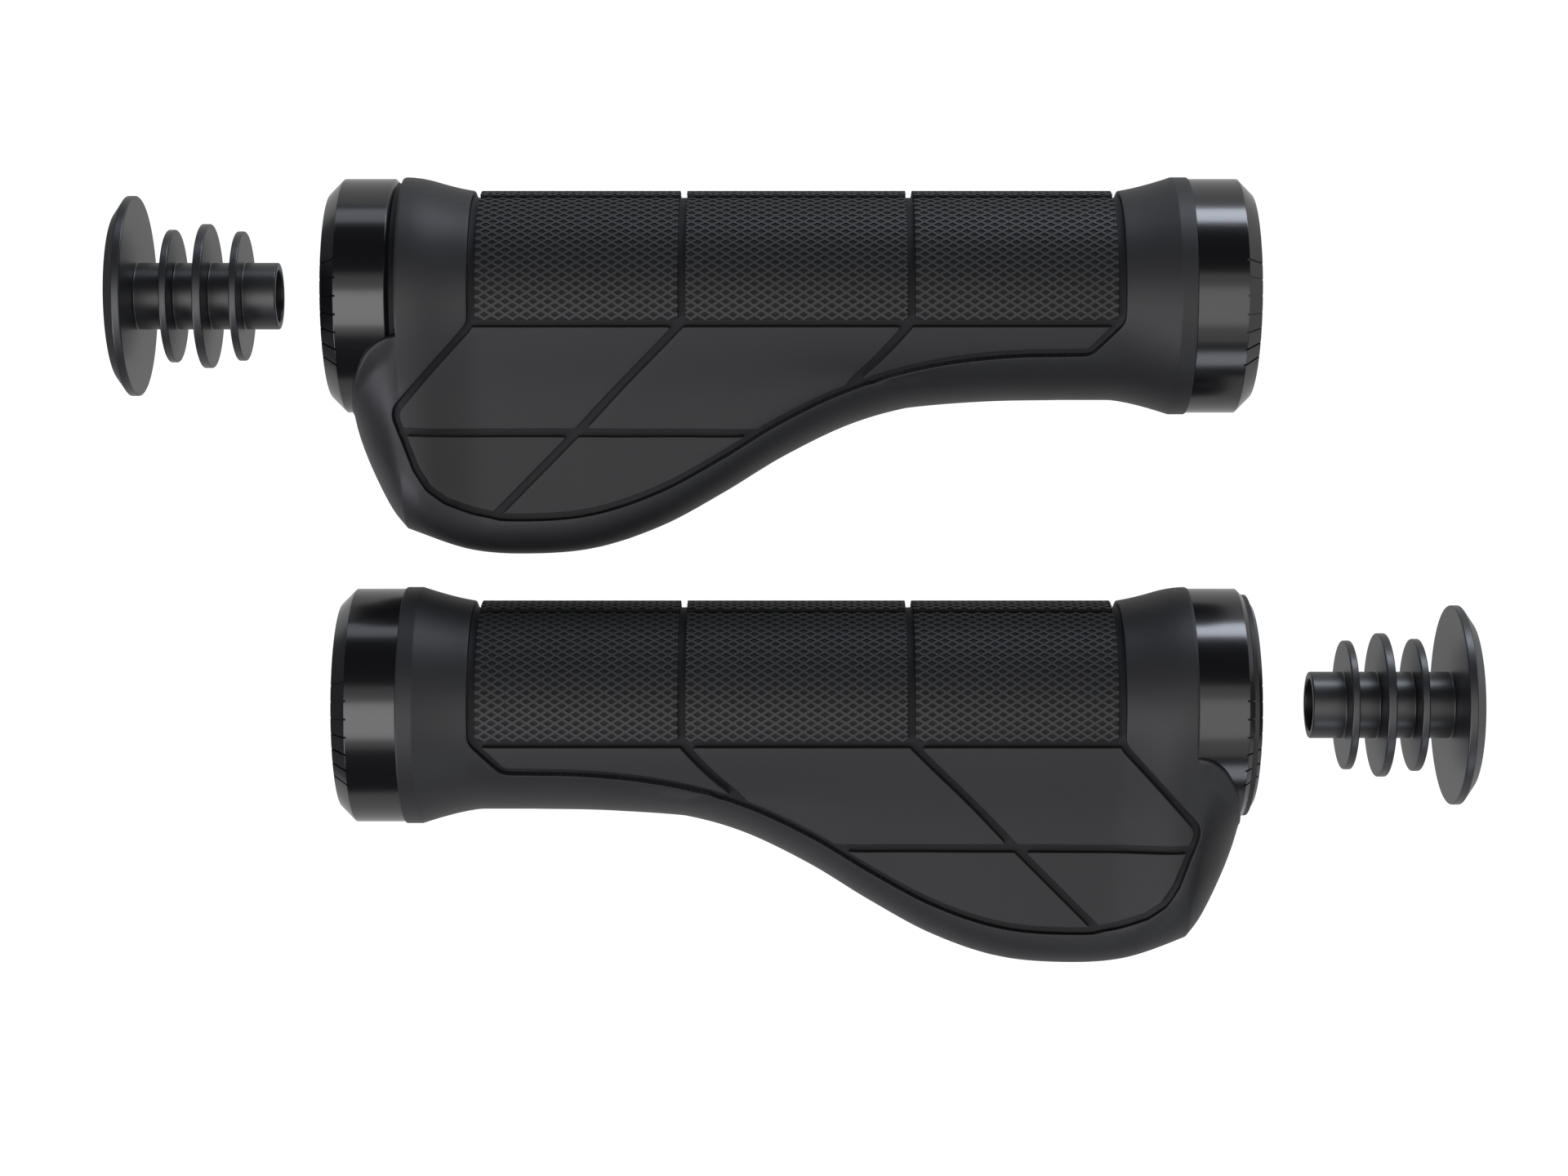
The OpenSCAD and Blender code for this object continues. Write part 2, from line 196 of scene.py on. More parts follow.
@dataclass(frozen=True)
class Finish:
    """A surface finish. Lengths are in millimetres."""

    name: str
    base: Colour
    mottled: Colour
    rough: float
    rough_spread: float
    grain_size: float
    grain_depth: float
    pits: float = 0.3
    mottle_size: float = 8.0
    rub_length: float = 6.0
    rub_threshold: float = 0.62
    metallic: float = 0.0
    specular: float = 0.5

    def build(self, grain: bpy.types.NodeTree, rub: bpy.types.NodeTree) -> bpy.types.Material:
        """Builds the material.

        Args:
            grain: The shared grain group.
            rub: The shared rub mark group.

        Returns:
            The material, with colour, roughness and normal varied over the surface.
        """
        material = bpy.data.materials.new(self.name)
        material.use_nodes = True
        tree = material.node_tree
        shader = tree.nodes["Principled BSDF"]
        grained = node_of(tree, "ShaderNodeGroup", node_tree=grain)
        grained.inputs["Size"].default_value = self.grain_size
        grained.inputs["Mottle Size"].default_value = self.mottle_size
        grained.inputs["Pits"].default_value = self.pits
        rubbed = node_of(tree, "ShaderNodeGroup", node_tree=rub)
        rubbed.inputs["Length"].default_value = self.rub_length
        rubbed.inputs["Threshold"].default_value = self.rub_threshold
        tint = node_of(tree, "ShaderNodeMix", data_type="RGBA")
        tint.inputs["A"].default_value = (*self.base, 1)
        tint.inputs["B"].default_value = (*self.mottled, 1)
        tree.links.new(grained.outputs["Mottle"], tint.inputs["Factor"])
        tree.links.new(tint.outputs["Result"], shader.inputs["Base Color"])
        rough = node_of(tree, "ShaderNodeMapRange")
        rough.inputs["To Min"].default_value = self.rough
        rough.inputs["To Max"].default_value = self.rough + self.rough_spread
        tree.links.new(rubbed.outputs["Marks"], rough.inputs["Value"])
        tree.links.new(rough.outputs["Result"], shader.inputs["Roughness"])
        bump = node_of(tree, "ShaderNodeBump")
        bump.inputs["Strength"].default_value = 1.0
        bump.inputs["Distance"].default_value = self.grain_depth * MM
        tree.links.new(grained.outputs["Height"], bump.inputs["Height"])
        tree.links.new(bump.outputs["Normal"], shader.inputs["Normal"])
        shader.inputs["Metallic"].default_value = self.metallic
        shader.inputs["Specular IOR Level"].default_value = self.specular
        return material


FRAME_RUBBER = Finish("frame_rubber", (0.008, 0.008, 0.0088), (0.0105, 0.0105, 0.0116), 0.5, 0.08, 0.16,
                      0.005, specular=0.34)
# Painted shade: the recess floor and the grooves get the frame's own rubber painted darker, standing in for
# the shade that falls in them.
RECESS_PAINTED_SHADE_RUBBER = Finish("recess_floor_rubber", (0.006, 0.006, 0.0068), (0.008, 0.008, 0.009), 0.62, 0.06,
                       0.16, 0.006, specular=0.2)
PAD_RUBBER = Finish("smooth_pad_rubber", (0.014, 0.014, 0.0143), (0.016, 0.016, 0.0164), 0.62, 0.08, 0.14,
                    0.005, specular=0.3)
# Painted shade: the knurled pad's surface between the ridges is the same rubber painted much darker, for the
# shade between the ridges; the ridges keep the lighter, lit copy.
KNURL_FLOOR_PAINTED_SHADE = Finish("knurled_pad_rubber", (0.003, 0.0031, 0.0034), (0.0045, 0.0047, 0.005), 0.65, 0.06, 0.14,
                     0.005, specular=0.22)
KNURL_RIDGE = Finish("knurl_ridge_rubber", (0.012, 0.0122, 0.0125), (0.015, 0.0152, 0.0156), 0.55, 0.06, 0.1,
                     0.003, specular=0.35)
ANODISED = Finish("gloss_black_anodised", (0.003, 0.003, 0.0034), (0.004, 0.004, 0.0045), 0.19, 0.1, 0.05,
                  0.0005, rub_length=3.0, specular=0.6)
SPIGOT = Finish("machined_spigot", (0.003, 0.003, 0.003), (0.005, 0.005, 0.005), 0.5, 0.1, 0.1, 0.002,
                specular=0.12)
MOULDED = Finish("moulded_plug_plastic", (0.010, 0.010, 0.011), (0.013, 0.013, 0.0145), 0.36, 0.1, 0.1,
                 0.002, specular=0.5)
NYLON = Finish("sleeve_nylon", (0.008, 0.008, 0.0085), (0.011, 0.011, 0.0115), 0.42, 0.12, 0.18, 0.004)
OXIDE = Finish("black_oxide_steel", (0.03, 0.03, 0.031), (0.05, 0.048, 0.046), 0.34, 0.12, 0.06, 0.002,
               metallic=0.85)


@dataclass
class Wardrobe:
    """The finishes in use, each built once."""

    made: dict[str, bpy.types.Material] = field(default_factory=dict)
    groups: list[bpy.types.NodeTree] = field(default_factory=list)

    def of(self, finish: Finish) -> bpy.types.Material:
        """Gives the material of a finish.

        Args:
            finish: The finish to build or to find.

        Returns:
            Its material.
        """
        if not self.groups:
            self.groups = [grain_group(), rub_group()]
        if finish.name not in self.made:
            self.made[finish.name] = finish.build(*self.groups)
        return self.made[finish.name]


# ---------------------------------------------------------------- meshes


@dataclass
class Mesh:
    """Points and faces, with a material number for each face."""

    points: np.ndarray
    faces: list[tuple[int, ...]]
    slots: list[int] = field(default_factory=list)

    def __post_init__(self) -> None:
        """Gives every face the first material where none is named."""
        if not self.slots:
            self.slots = [0] * len(self.faces)

    def joined(self, other: Mesh) -> Mesh:
        """Adds another mesh.

        Args:
            other: The mesh to add.

        Returns:
            One mesh with the points and faces of both.
        """
        shift = len(self.points)
        moved = [tuple(i + shift for i in face) for face in other.faces]
        return Mesh(np.vstack([self.points, other.points]), self.faces + moved, self.slots + other.slots)

    def flipped(self) -> Mesh:
        """Turns every face round."""
        return Mesh(self.points, [face[::-1] for face in self.faces], self.slots)

    def mirrored(self) -> Mesh:
        """Mirrors the mesh in u and keeps its faces pointing outwards."""
        return Mesh(self.points * (-1, 1, 1), self.faces, self.slots).flipped()

    def moved(self, u: float, v: float = 0.0, w: float = 0.0) -> Mesh:
        """Shifts the mesh."""
        return Mesh(self.points + (u, v, w), self.faces, self.slots)


def blender_object(mesh: Mesh, name: str) -> bpy.types.Object:
    """Makes a Blender object of a mesh, in the mesh's own units.

    Args:
        mesh: The mesh.
        name: The object's name.

    Returns:
        The object, linked to the scene.
    """
    data = bpy.data.meshes.new(name)
    data.from_pydata(mesh.points.tolist(), [], mesh.faces)
    data.polygons.foreach_set("material_index", np.array(mesh.slots, dtype=np.int32))
    thing = bpy.data.objects.new(name, data)
    bpy.context.scene.collection.objects.link(thing)
    return thing


def taken_back(thing: bpy.types.Object) -> Mesh:
    """Reads an object with its modifiers applied, and removes it.

    Args:
        thing: The object, which is gone afterwards.

    Returns:
        Its mesh.
    """
    graph = bpy.context.evaluated_depsgraph_get()
    data = bpy.data.meshes.new_from_object(thing.evaluated_get(graph))
    points = np.empty(len(data.vertices) * 3)
    data.vertices.foreach_get("co", points)
    faces = [tuple(face.vertices) for face in data.polygons]
    slots = [face.material_index for face in data.polygons]
    bpy.data.objects.remove(thing)
    bpy.data.meshes.remove(data)
    return Mesh(points.reshape(-1, 3), faces, slots)


def welded(mesh: Mesh, gap: float = 0.002) -> Mesh:
    """Merges points that lie together and turns all faces outwards.

    Args:
        mesh: The mesh.
        gap: Points closer than this are merged, in millimetres.

    Returns:
        The closed mesh.
    """
    thing = blender_object(mesh, "weld")
    form = bmesh.new()
    form.from_mesh(thing.data)
    bmesh.ops.remove_doubles(form, verts=form.verts, dist=gap)
    bmesh.ops.dissolve_degenerate(form, edges=form.edges, dist=gap / 4)
    bmesh.ops.recalc_face_normals(form, faces=form.faces)
    form.to_mesh(thing.data)
    form.free()
    return taken_back(thing)


def cut(mesh: Mesh, tools: Sequence[Mesh]) -> Mesh:
    """Takes solids away from a closed mesh.

    Args:
        mesh: The solid to cut.
        tools: Closed solids, taken away one after another.

    Returns:
        What is left.
    """
    thing = blender_object(mesh, "cut")
    cutters = [blender_object(tool, "tool") for tool in tools]
    for cutter in cutters:
        step = thing.modifiers.new("cut", "BOOLEAN")
        step.operation = "DIFFERENCE"
        step.solver = "MANIFOLD"
        step.object = cutter
    left = taken_back(thing)
    for cutter in cutters:
        bpy.data.objects.remove(cutter)
    return left


def block(low: Sequence[float], high: Sequence[float]) -> Mesh:
    """A box between two corners."""
    corners = np.array([[x, y, z] for x in (low[0], high[0]) for y in (low[1], high[1])
                        for z in (low[2], high[2])], dtype=float)
    sides = [(0, 1, 3, 2), (4, 6, 7, 5), (0, 4, 5, 1), (2, 3, 7, 6), (0, 2, 6, 4), (1, 5, 7, 3)]
    return Mesh(corners, sides)


def turned(mesh: Mesh, angle: float) -> Mesh:
    """Turns a mesh round the bar axis, from straight up towards the rider."""
    c, s = math.cos(math.radians(angle)), math.sin(math.radians(angle))
    u, v, w = mesh.points.T
    return Mesh(np.column_stack([u, v * c - w * s, v * s + w * c]), mesh.faces, mesh.slots)


def rounded(corners: Sequence[tuple[float, float]], radius: float, steps: int = 4,
            hold: float = 0.08, closed: bool = True) -> np.ndarray:
    """Rounds the corners of an outline, with a close point either side to keep the flats flat.

    Args:
        corners: The outline's corners.
        radius: Radius of the rounding, less where an edge is short.
        steps: Segments in each rounding.
        hold: Distance of the holding point beyond the rounding. Nought leaves it out.
        closed: Whether the last corner joins the first. The ends of an open outline stay sharp.

    Returns:
        The outline's points.
    """
    points, out = np.array(corners, dtype=float), []
    count = len(points)
    for i in range(count):
        if not closed and i in (0, count - 1):
            out.append(points[i])
            continue
        here, before, after = points[i], points[i - 1] - points[i], points[(i + 1) % count] - points[i]
        lengths = np.linalg.norm(before), np.linalg.norm(after)
        before, after = before / lengths[0], after / lengths[1]
        half = math.acos(float(np.clip(before @ after, -1, 1))) / 2
        if half > math.radians(88):
            out.append(here)
            continue
        back = min(radius / math.tan(half), 0.45 * min(lengths))
        real = back * math.tan(half)
        middle = here + (before + after) / np.linalg.norm(before + after) * real / math.sin(half)
        first, last = here + before * back - middle, here + after * back - middle
        sweep = math.pi - 2 * half
        if hold and back + hold < 0.5 * lengths[0]:
            out.append(here + before * (back + hold))
        for k in range(steps + 1):
            part = k / steps
            out.append(middle + (math.sin((1 - part) * sweep) * first + math.sin(part * sweep) * last)
                       / math.sin(sweep))
        if hold and back + hold < 0.5 * lengths[1]:
            out.append(here + after * (back + hold))
    return np.array(out)


def lathe(profile: np.ndarray, steps: int = 160) -> Mesh:
    """Turns an outline of (u, radius) round the bar axis.

    Args:
        profile: The outline. An outline whose ends lie on the axis makes a solid, any other a ring.
        steps: Points round the axis.

    Returns:
        A closed mesh.
    """
    angles = np.arange(steps) * 2 * math.pi / steps
    solid = profile[0][1] < 1e-6
    body = profile[1:-1] if solid else profile
    points = np.array([[u, -r * math.sin(a), r * math.cos(a)] for u, r in body for a in angles])
    rows = len(body) - 1 if solid else len(body)
    faces = [(i * steps + k, i * steps + (k + 1) % steps, (i + 1) % len(body) * steps + (k + 1) % steps,
              (i + 1) % len(body) * steps + k) for i in range(rows) for k in range(steps)]
    if solid:
        first, last = len(points), len(points) + 1
        points = np.vstack([points, [[profile[0][0], 0, 0], [profile[-1][0], 0, 0]]])
        end = (len(body) - 1) * steps
        faces += [(first, (k + 1) % steps, k) for k in range(steps)]
        faces += [(last, end + k, end + (k + 1) % steps) for k in range(steps)]
    return welded(Mesh(points, faces), 1e-4)


# ---------------------------------------------------------------- the grip's form


def curve(knots: np.ndarray, u: np.ndarray) -> np.ndarray:
    """Reads a smooth curve through knots.

    Args:
        knots: Rows of place and value, in order of place.
        u: Places to read.

    Returns:
        The values there. Beyond the ends they are those of the end knots.
    """
    x, y = knots.T
    last = len(x) - 1
    before, after = np.maximum(np.arange(last + 1) - 1, 0), np.minimum(np.arange(last + 1) + 1, last)
    slope = (y[after] - y[before]) / (x[after] - x[before])
    i = np.clip(np.searchsorted(x, u) - 1, 0, last - 1)
    h = x[i + 1] - x[i]
    t = np.clip((u - x[i]) / h, 0, 1)
    return ((1 + 2 * t) * (1 - t) ** 2 * y[i] + t * (1 - t) ** 2 * h * slope[i]
            + t * t * (3 - 2 * t) * y[i + 1] - t * t * (1 - t) * h * slope[i + 1])


def smooth(x: np.ndarray) -> np.ndarray:
    """A smooth step from 0 to 1 as x goes from 0 to 1."""
    x = np.clip(x, 0, 1)
    return x * x * (3 - 2 * x)


@dataclass(frozen=True)
class GripForm:
    """The outer surface of a grip. Sizes in millimetres, angles in degrees."""

    reach_most: float
    shell_end: float = 58.4
    lobe_end: float = 66.8
    barrel_r: float = 15.6
    collar_r: float = 17.75
    edge_most: float = 6.7
    drop: float = 2.3
    hollow: float = 1.4
    flare_start: float = 47.0
    flare_power: float = 1.4
    lobe_tail: float = 0.43
    ring_clear_r: float = 17.8
    ease: float = 0.75
    edge_shares: tuple[tuple[float, float], ...] = (
        (-40, 0), (-28, 0.012), (-18, 0.062), (-8, 0.175), (2, 0.375), (11, 0.607), (20, 0.815), (30, 0.96),
        (40, 1), (49, 0.972), (58.4, 0.837))
    lobe_shares: tuple[tuple[float, float], ...] = (
        (58.4, 0.837), (60.9, 0.715), (63.4, 0.53), (65.6, 0.32), (66.8, 0.14))
    edge_heights: tuple[tuple[float, float], ...] = (
        (-36, 0), (-14, -0.95), (14, -1), (30, -0.5), (44, -0.15), (54, 0), (58.4, -0.4), (62, -1.5),
        (66.8, -2.3))

    @property
    def flare_end(self) -> float:
        """Where the flare ends in the collar's flat band."""
        return self.shell_end - 2.4

    def round_r(self, u: np.ndarray) -> np.ndarray:
        """Radius of the round part of the section: a flare to a flat band, eased in at the outer end."""
        part = np.clip((np.abs(u) - self.flare_start) / (self.flare_end - self.flare_start), 0, 2)
        rise = np.minimum(part, 1) ** self.flare_power
        left = 1 - self.ease ** self.flare_power
        run = 2 * left / (self.flare_power * self.ease ** (self.flare_power - 1))
        eased = 1 - left * (np.maximum(0, self.ease + run - part) / run) ** 2
        rise = np.where((u > 0) & (part > self.ease), eased, rise)
        return self.barrel_r + (self.collar_r - self.barrel_r) * rise

    def reach(self, u: np.ndarray) -> np.ndarray:
        """Distance of the palm rest's edge from the bar axis at u."""
        rise = self.reach_most - self.barrel_r
        palm, lobe = (self.barrel_r + rise * curve(np.array(shares, dtype=float), u)
                      for shares in (self.edge_shares, self.lobe_shares))
        return np.maximum(self.round_r(u) + 0.01, np.where(u > self.shell_end, lobe, palm))

    def radius(self, u: np.ndarray, angle: np.ndarray) -> np.ndarray:
        """Radius of the section: a round part and a rounded edge, wrapped together.

        Args:
            u: Places along the bar.
            angle: Angles round it.

        Returns:
            The distance of the surface from the bar axis.
        """
        a = np.mod(angle, 360)
        past = np.clip((u - self.shell_end) / (self.lobe_end - self.shell_end), 0, 1)
        taper = (self.barrel_r - self.edge_most) / (self.reach_most - self.edge_most) \
            + self.lobe_tail * past ** 3
        r0, reach = self.round_r(u), self.reach(u)
        r1 = (r0 - taper * reach) / (1 - taper)
        d = reach - r1
        height = self.drop * curve(np.array(self.edge_heights, dtype=float), u)
        tilt = 90 - np.degrees(np.arctan(height / np.maximum(d, self.drop)))
        turn = np.degrees(np.arccos(taper))
        top, bottom = tilt - turn, tilt + turn
        tips = []
        for flank in (top, bottom):
            across = d * np.sin(np.radians(tilt)) + r1 * np.sin(np.radians(flank))
            up = d * np.cos(np.radians(tilt)) + r1 * np.cos(np.radians(flank))
            tips.append(np.mod(np.degrees(np.arctan2(across, up)), 360))
        share = np.minimum(1, (reach - r0) / (self.reach_most - self.barrel_r)) * (1 - past) ** 2
        part = np.clip((a - top) / (tips[0] - top), 0, 1)
        upper = (r0 - self.hollow * share * np.sin(np.pi * part ** 2)) / np.cos(np.radians(a - top))
        lower = r0 / np.cos(np.radians(bottom - a))
        off = np.radians(a - tilt)
        edge = d * np.cos(off) + np.sqrt(np.maximum(0, r1 * r1 - (d * np.sin(off)) ** 2))
        flanks = np.where(a < tips[0], upper, np.where(a > tips[1], lower, edge))
        return np.where((a <= top) | (a >= bottom), r0, flanks)

    def point(self, u: np.ndarray, angle: np.ndarray, r: np.ndarray) -> np.ndarray:
        """The place at u, an angle and a distance from the bar axis."""
        a = np.radians(angle)
        return np.column_stack([u, -r * np.sin(a), r * np.cos(a)])

    def sunk(self, u: np.ndarray, angle: np.ndarray, depth: np.ndarray,
             radius: Callable[[np.ndarray, np.ndarray], np.ndarray] | None = None) -> np.ndarray:
        """Places a depth below the surface, measured square to it.

        Args:
            u: Places along the bar.
            angle: Angles round it.
            depth: Depths below the surface.
            radius: The surface's radius, if it isn't this form's own.

        Returns:
            The points.
        """
        radius = radius or self.radius
        du, da = 0.03, 0.1
        here = self.point(u, angle, radius(u, angle))
        along = self.point(u + du, angle, radius(u + du, angle)) \
            - self.point(u - du, angle, radius(u - du, angle))
        round_it = self.point(u, angle + da, radius(u, angle + da)) \
            - self.point(u, angle - da, radius(u, angle - da))
        normal = np.cross(round_it, along)
        normal /= np.linalg.norm(normal, axis=1, keepdims=True)
        outwards = np.sign(np.einsum("ij,ij->i", normal, here * (0, 1, 1)))
        return here - normal * (outwards * depth)[:, None]


class Sheet:
    """The grip's surface rolled out flat. It turns angles into distances round the section and back."""

    def __init__(self, form: GripForm, seam: float = -171.0) -> None:
        """Measures the form.

        Args:
            form: The grip's form.
            seam: The angle at which the sheet starts. It ends a full turn later.
        """
        self.form = form
        self.us = np.linspace(-form.shell_end - 1, form.lobe_end + 1, 260)
        self.angles = np.linspace(seam, seam + 360, 481)
        grid_u, grid_a = np.meshgrid(self.us, self.angles, indexing="ij")
        flat = form.point(grid_u.ravel(), grid_a.ravel(), form.radius(grid_u.ravel(), grid_a.ravel()))
        rows = flat.reshape(len(self.us), len(self.angles), 3)[:, :, 1:]
        steps = np.linalg.norm(np.diff(rows, axis=1), axis=2)
        table = np.hstack([np.zeros((len(self.us), 1)), np.cumsum(steps, axis=1)])
        middle = [np.interp(0.0, self.angles, row) for row in table]
        self.table = table - np.array(middle)[:, None]

    def row(self, u: float) -> np.ndarray:
        """Distances round the section at u, for every angle of the table."""
        x = np.clip((u - self.us[0]) / (self.us[1] - self.us[0]), 0, len(self.us) - 1.001)
        i, part = int(x), x - int(x)
        return (1 - part) * self.table[i] + part * self.table[i + 1]

    def across(self, u: np.ndarray, angle: np.ndarray) -> np.ndarray:
        """Distance round the section at u and an angle."""
        return np.array([np.interp(a, self.angles, self.row(x)) for x, a in zip(u, angle, strict=True)])

    def angle(self, u: np.ndarray, t: np.ndarray) -> np.ndarray:
        """Angle at u and a distance round the section."""
        return np.array([np.interp(d, self.row(x), self.angles) for x, d in zip(u, t, strict=True)])

    def from_above(self, plan: np.ndarray) -> np.ndarray:
        """Lays points of (u, v), seen from above, on the sheet.

        Args:
            plan: Points beside the bar axis on the palm side.

        Returns:
            The same points as (u, t).
        """
        u, v = plan.T
        low, high = np.zeros_like(u), np.full_like(u, 88.0)
        for _ in range(40):
            middle = (low + high) / 2
            inside = self.form.radius(u, middle) * np.sin(np.radians(middle)) < v
            low, high = np.where(inside, middle, low), np.where(inside, high, middle)
        return np.column_stack([u, self.across(u, low)])


def even_steps(outline: np.ndarray, step: float) -> np.ndarray:
    """Splits the long edges of a closed outline.

    Args:
        outline: Its points.
        step: The longest edge to leave.

    Returns:
        The outline with the new points in it.
    """
    out = []
    for here, after in zip(outline, np.roll(outline, -1, axis=0), strict=True):
        count = max(1, math.ceil(float(np.linalg.norm(after - here)) / step))
        out += [here + (after - here) * k / count for k in range(count)]
    return np.array(out)


def clipped(outline: np.ndarray, point: Sequence[float], normal: Sequence[float]) -> np.ndarray:
    """Keeps the part of a closed outline on the side of a line that its normal points to.

    Args:
        outline: The outline's points.
        point: A point on the line.
        normal: The line's normal.

    Returns:
        The clipped outline.
    """
    side = (outline - np.array(point)) @ np.array(normal, dtype=float)
    out = []
    for i, here in enumerate(outline):
        j = (i + 1) % len(outline)
        if side[i] >= 0:
            out.append(here)
        if side[i] * side[j] < 0:
            out.append(here + (outline[j] - here) * side[i] / (side[i] - side[j]))
    return np.array(out)


def offset(outline: np.ndarray, distance: float) -> np.ndarray:
    """Moves a closed outline outwards, or inwards for a negative distance. It runs counterclockwise."""
    before, after = outline - np.roll(outline, 1, axis=0), np.roll(outline, -1, axis=0) - outline
    before /= np.linalg.norm(before, axis=1, keepdims=True)
    after /= np.linalg.norm(after, axis=1, keepdims=True)
    along = before + after
    along /= np.linalg.norm(along, axis=1, keepdims=True)
    lean = np.maximum(0.5, np.einsum("ij,ij->i", along, after))
    return outline + np.column_stack([along[:, 1], -along[:, 0]]) * (distance / lean)[:, None]


def counterclockwise(outline: np.ndarray) -> np.ndarray:
    """Gives a closed outline in counterclockwise order, without repeated points."""
    gap = np.linalg.norm(outline - np.roll(outline, 1, axis=0), axis=1)
    outline = outline[gap > 1e-4]
    x, y = outline.T
    area = float(np.sum(x * np.roll(y, -1) - np.roll(x, -1) * y))
    return outline if area > 0 else outline[::-1]


def depth_inside(points: np.ndarray, outline: np.ndarray) -> np.ndarray:
    """Distance of points from a closed outline, positive inside it.

    Args:
        points: Points of the sheet.
        outline: The outline.

    Returns:
        One signed distance for each point.
    """
    start, end = outline, np.roll(outline, -1, axis=0)
    nearest = np.full(len(points), np.inf)
    inside = np.zeros(len(points), dtype=bool)
    for a, b in zip(start, end, strict=True):
        along = b - a
        part = np.clip(((points - a) @ along) / max(1e-12, float(along @ along)), 0, 1)
        nearest = np.minimum(nearest, np.linalg.norm(points - a - part[:, None] * along, axis=1))
        crosses = (a[1] > points[:, 1]) != (b[1] > points[:, 1])
        if a[1] != b[1]:
            at = a[0] + (points[:, 1] - a[1]) * along[0] / (b[1] - a[1])
            inside ^= crosses & (points[:, 0] < at)
    return np.where(inside, nearest, -nearest)


@dataclass
class Net:
    """Points and constrained lines on the sheet, with a depth for each point, ready to be triangulated."""

    points: list[np.ndarray] = field(default_factory=list)
    depths: list[np.ndarray] = field(default_factory=list)
    lines: list[tuple[int, int]] = field(default_factory=list)
    count: int = 0

    def add(self, points: np.ndarray, depth: float | np.ndarray, line: bool = False,
            closed: bool = False) -> None:
        """Adds points.

        Args:
            points: Points of the sheet.
            depth: Their depth, or one for each.
            line: Whether edges join them in order.
            closed: Whether the last joins the first.
        """
        self.points.append(points)
        self.depths.append(np.broadcast_to(np.asarray(depth, dtype=float), (len(points),)).copy())
        if line:
            numbers = list(range(self.count, self.count + len(points)))
            self.lines += list(zip(numbers, numbers[1:] + (numbers[:1] if closed else []), strict=False))
        self.count += len(points)

    def triangulated(self) -> tuple[np.ndarray, np.ndarray, list[tuple[int, ...]]]:
        """Triangulates the net inside its outermost line.

        Returns:
            The points, their depths and the triangles.
        """
        points, depths = np.vstack(self.points), np.concatenate(self.depths)
        found = delaunay_2d_cdt([Vector(p) for p in points], self.lines, [], 1, 1e-5)
        verts, faces, origins = found[0], found[2], found[3]
        made = np.array([[p.x, p.y] for p in verts])
        depth = np.array([depths[o[0]] if o else np.nan for o in origins])
        for i in np.flatnonzero(np.isnan(depth)):
            depth[i] = depths[np.argmin(np.linalg.norm(points - made[i], axis=1))]
        return made, depth, [tuple(face) for face in faces]


@dataclass(frozen=True)
class PadLayout:
    """Where the recess and the pads lie. Sizes in millimetres, angles in degrees."""

    recess_depth: float = 0.9
    groove: float = 1.15
    rim_groove: float = 1.05
    rim: float = 4.75
    rim_extra: float = 0.8
    column_edge: float = 48.1
    column_line: float = 16.8
    groove_v: float = 5.3
    cross_v: float = 21.0
    top_span: tuple[float, float] = (-62.5, 18.0)
    front_span: tuple[float, float] = (-163.0, -66.7)
    corner: tuple[float, float] = (59.9, 18.1)
    toe: tuple[tuple[float, float], ...] = ((56.5, 26.7), (54.6, 29.7), (52.0, 31.6), (48.0, 33.0))
    corner_round: float = 2.6
    pad_round: float = 0.25
    front_margin: float = 4.0
    front_round: float = 0.8
    outline_step: float = 0.7
    edge_round: tuple[tuple[float, float], ...] = ((0.0, 0.16), (0.015, 0.1), (0.05, 0.045), (0.1, 0.01),
                                                  (0.17, 0.0))

    def palm_outline(self, form: GripForm) -> np.ndarray:
        """Outline of the palm part of the recess from above, as (u, v)."""
        along = np.arange(-40.0, 44.5, 2.0)
        rim = self.rim + self.rim_extra * np.clip((-8 - along) / 26, 0, 1)
        edge = np.column_stack([along, form.reach(along) - rim])
        corners = [(-self.column_edge, -8.0), (-self.column_edge, self.groove_v), (-43.3, 10.0)]
        tail = [*self.toe[::-1], self.corner, (self.column_edge, self.groove_v), (self.column_edge, -8.0)]
        return rounded([*corners, *map(tuple, edge), *tail], self.corner_round, 6, 0.0)

    def palm_pads(self, form: GripForm) -> dict[str, np.ndarray]:
        """Outlines of the smooth pads from above.

        Args:
            form: The grip's form.

        Returns:
            Each pad's name and outline, as (u, v).
        """
        area = offset(counterclockwise(even_steps(self.palm_outline(form), 1.0)), -self.rim_groove)
        half, slope = self.groove / 2, math.sqrt(0.5)
        palm = clipped(clipped(area, (0, self.groove_v + half), (0, 1)), (0, self.cross_v - half), (0, -1))
        heel = clipped(area, (0, self.cross_v + half), (0, 1))
        palm_sides = {"outer": ((1, 1),), "middle": ((1, -1), (-1, 1)), "inner": ((-1, -1),)}
        heel_sides = {"outer": ((1, 1),), "inner": ((1, -1),)}
        out = {}
        for name, strip, sides in (("palm_pad", palm, palm_sides), ("heel_pad", heel, heel_sides)):
            for place, diagonals in sides.items():
                piece = strip
                for line, keep in diagonals:
                    normal = np.array((slope, -slope)) * keep
                    start = np.array((self.column_line * line, self.groove_v)) + normal * half
                    piece = clipped(piece, start, normal)
                out[f"{name}_{place}"] = piece
        return out


@dataclass(frozen=True)
class Lip:
    """Edge of the lobe over the outer clamp ring, as distance along the bar for each angle."""

    line: tuple[tuple[float, float], ...] = (
        (24.2, 58.4), (25.3, 60.1), (28.3, 61.7), (33.0, 63.0), (41.3, 64.25), (51.7, 65.2), (66.0, 65.85),
        (80.0, 66.3), (95.0, 66.5))
    thickness: float = 0.36
    buried_r: float = 16.6

    def outline(self) -> np.ndarray:
        """The lip's edge as (u, angle), from the top round to the underside."""
        knots = np.array(self.line, dtype=float)
        first, last = knots[0][0], knots[-1][0]
        angles = first + (last - first) * np.linspace(0, 1, 60) ** 1.6
        half = np.column_stack([curve(knots, angles), angles])
        return np.vstack([half, (half * (1, -1) + (0, 2 * last))[-2::-1]])


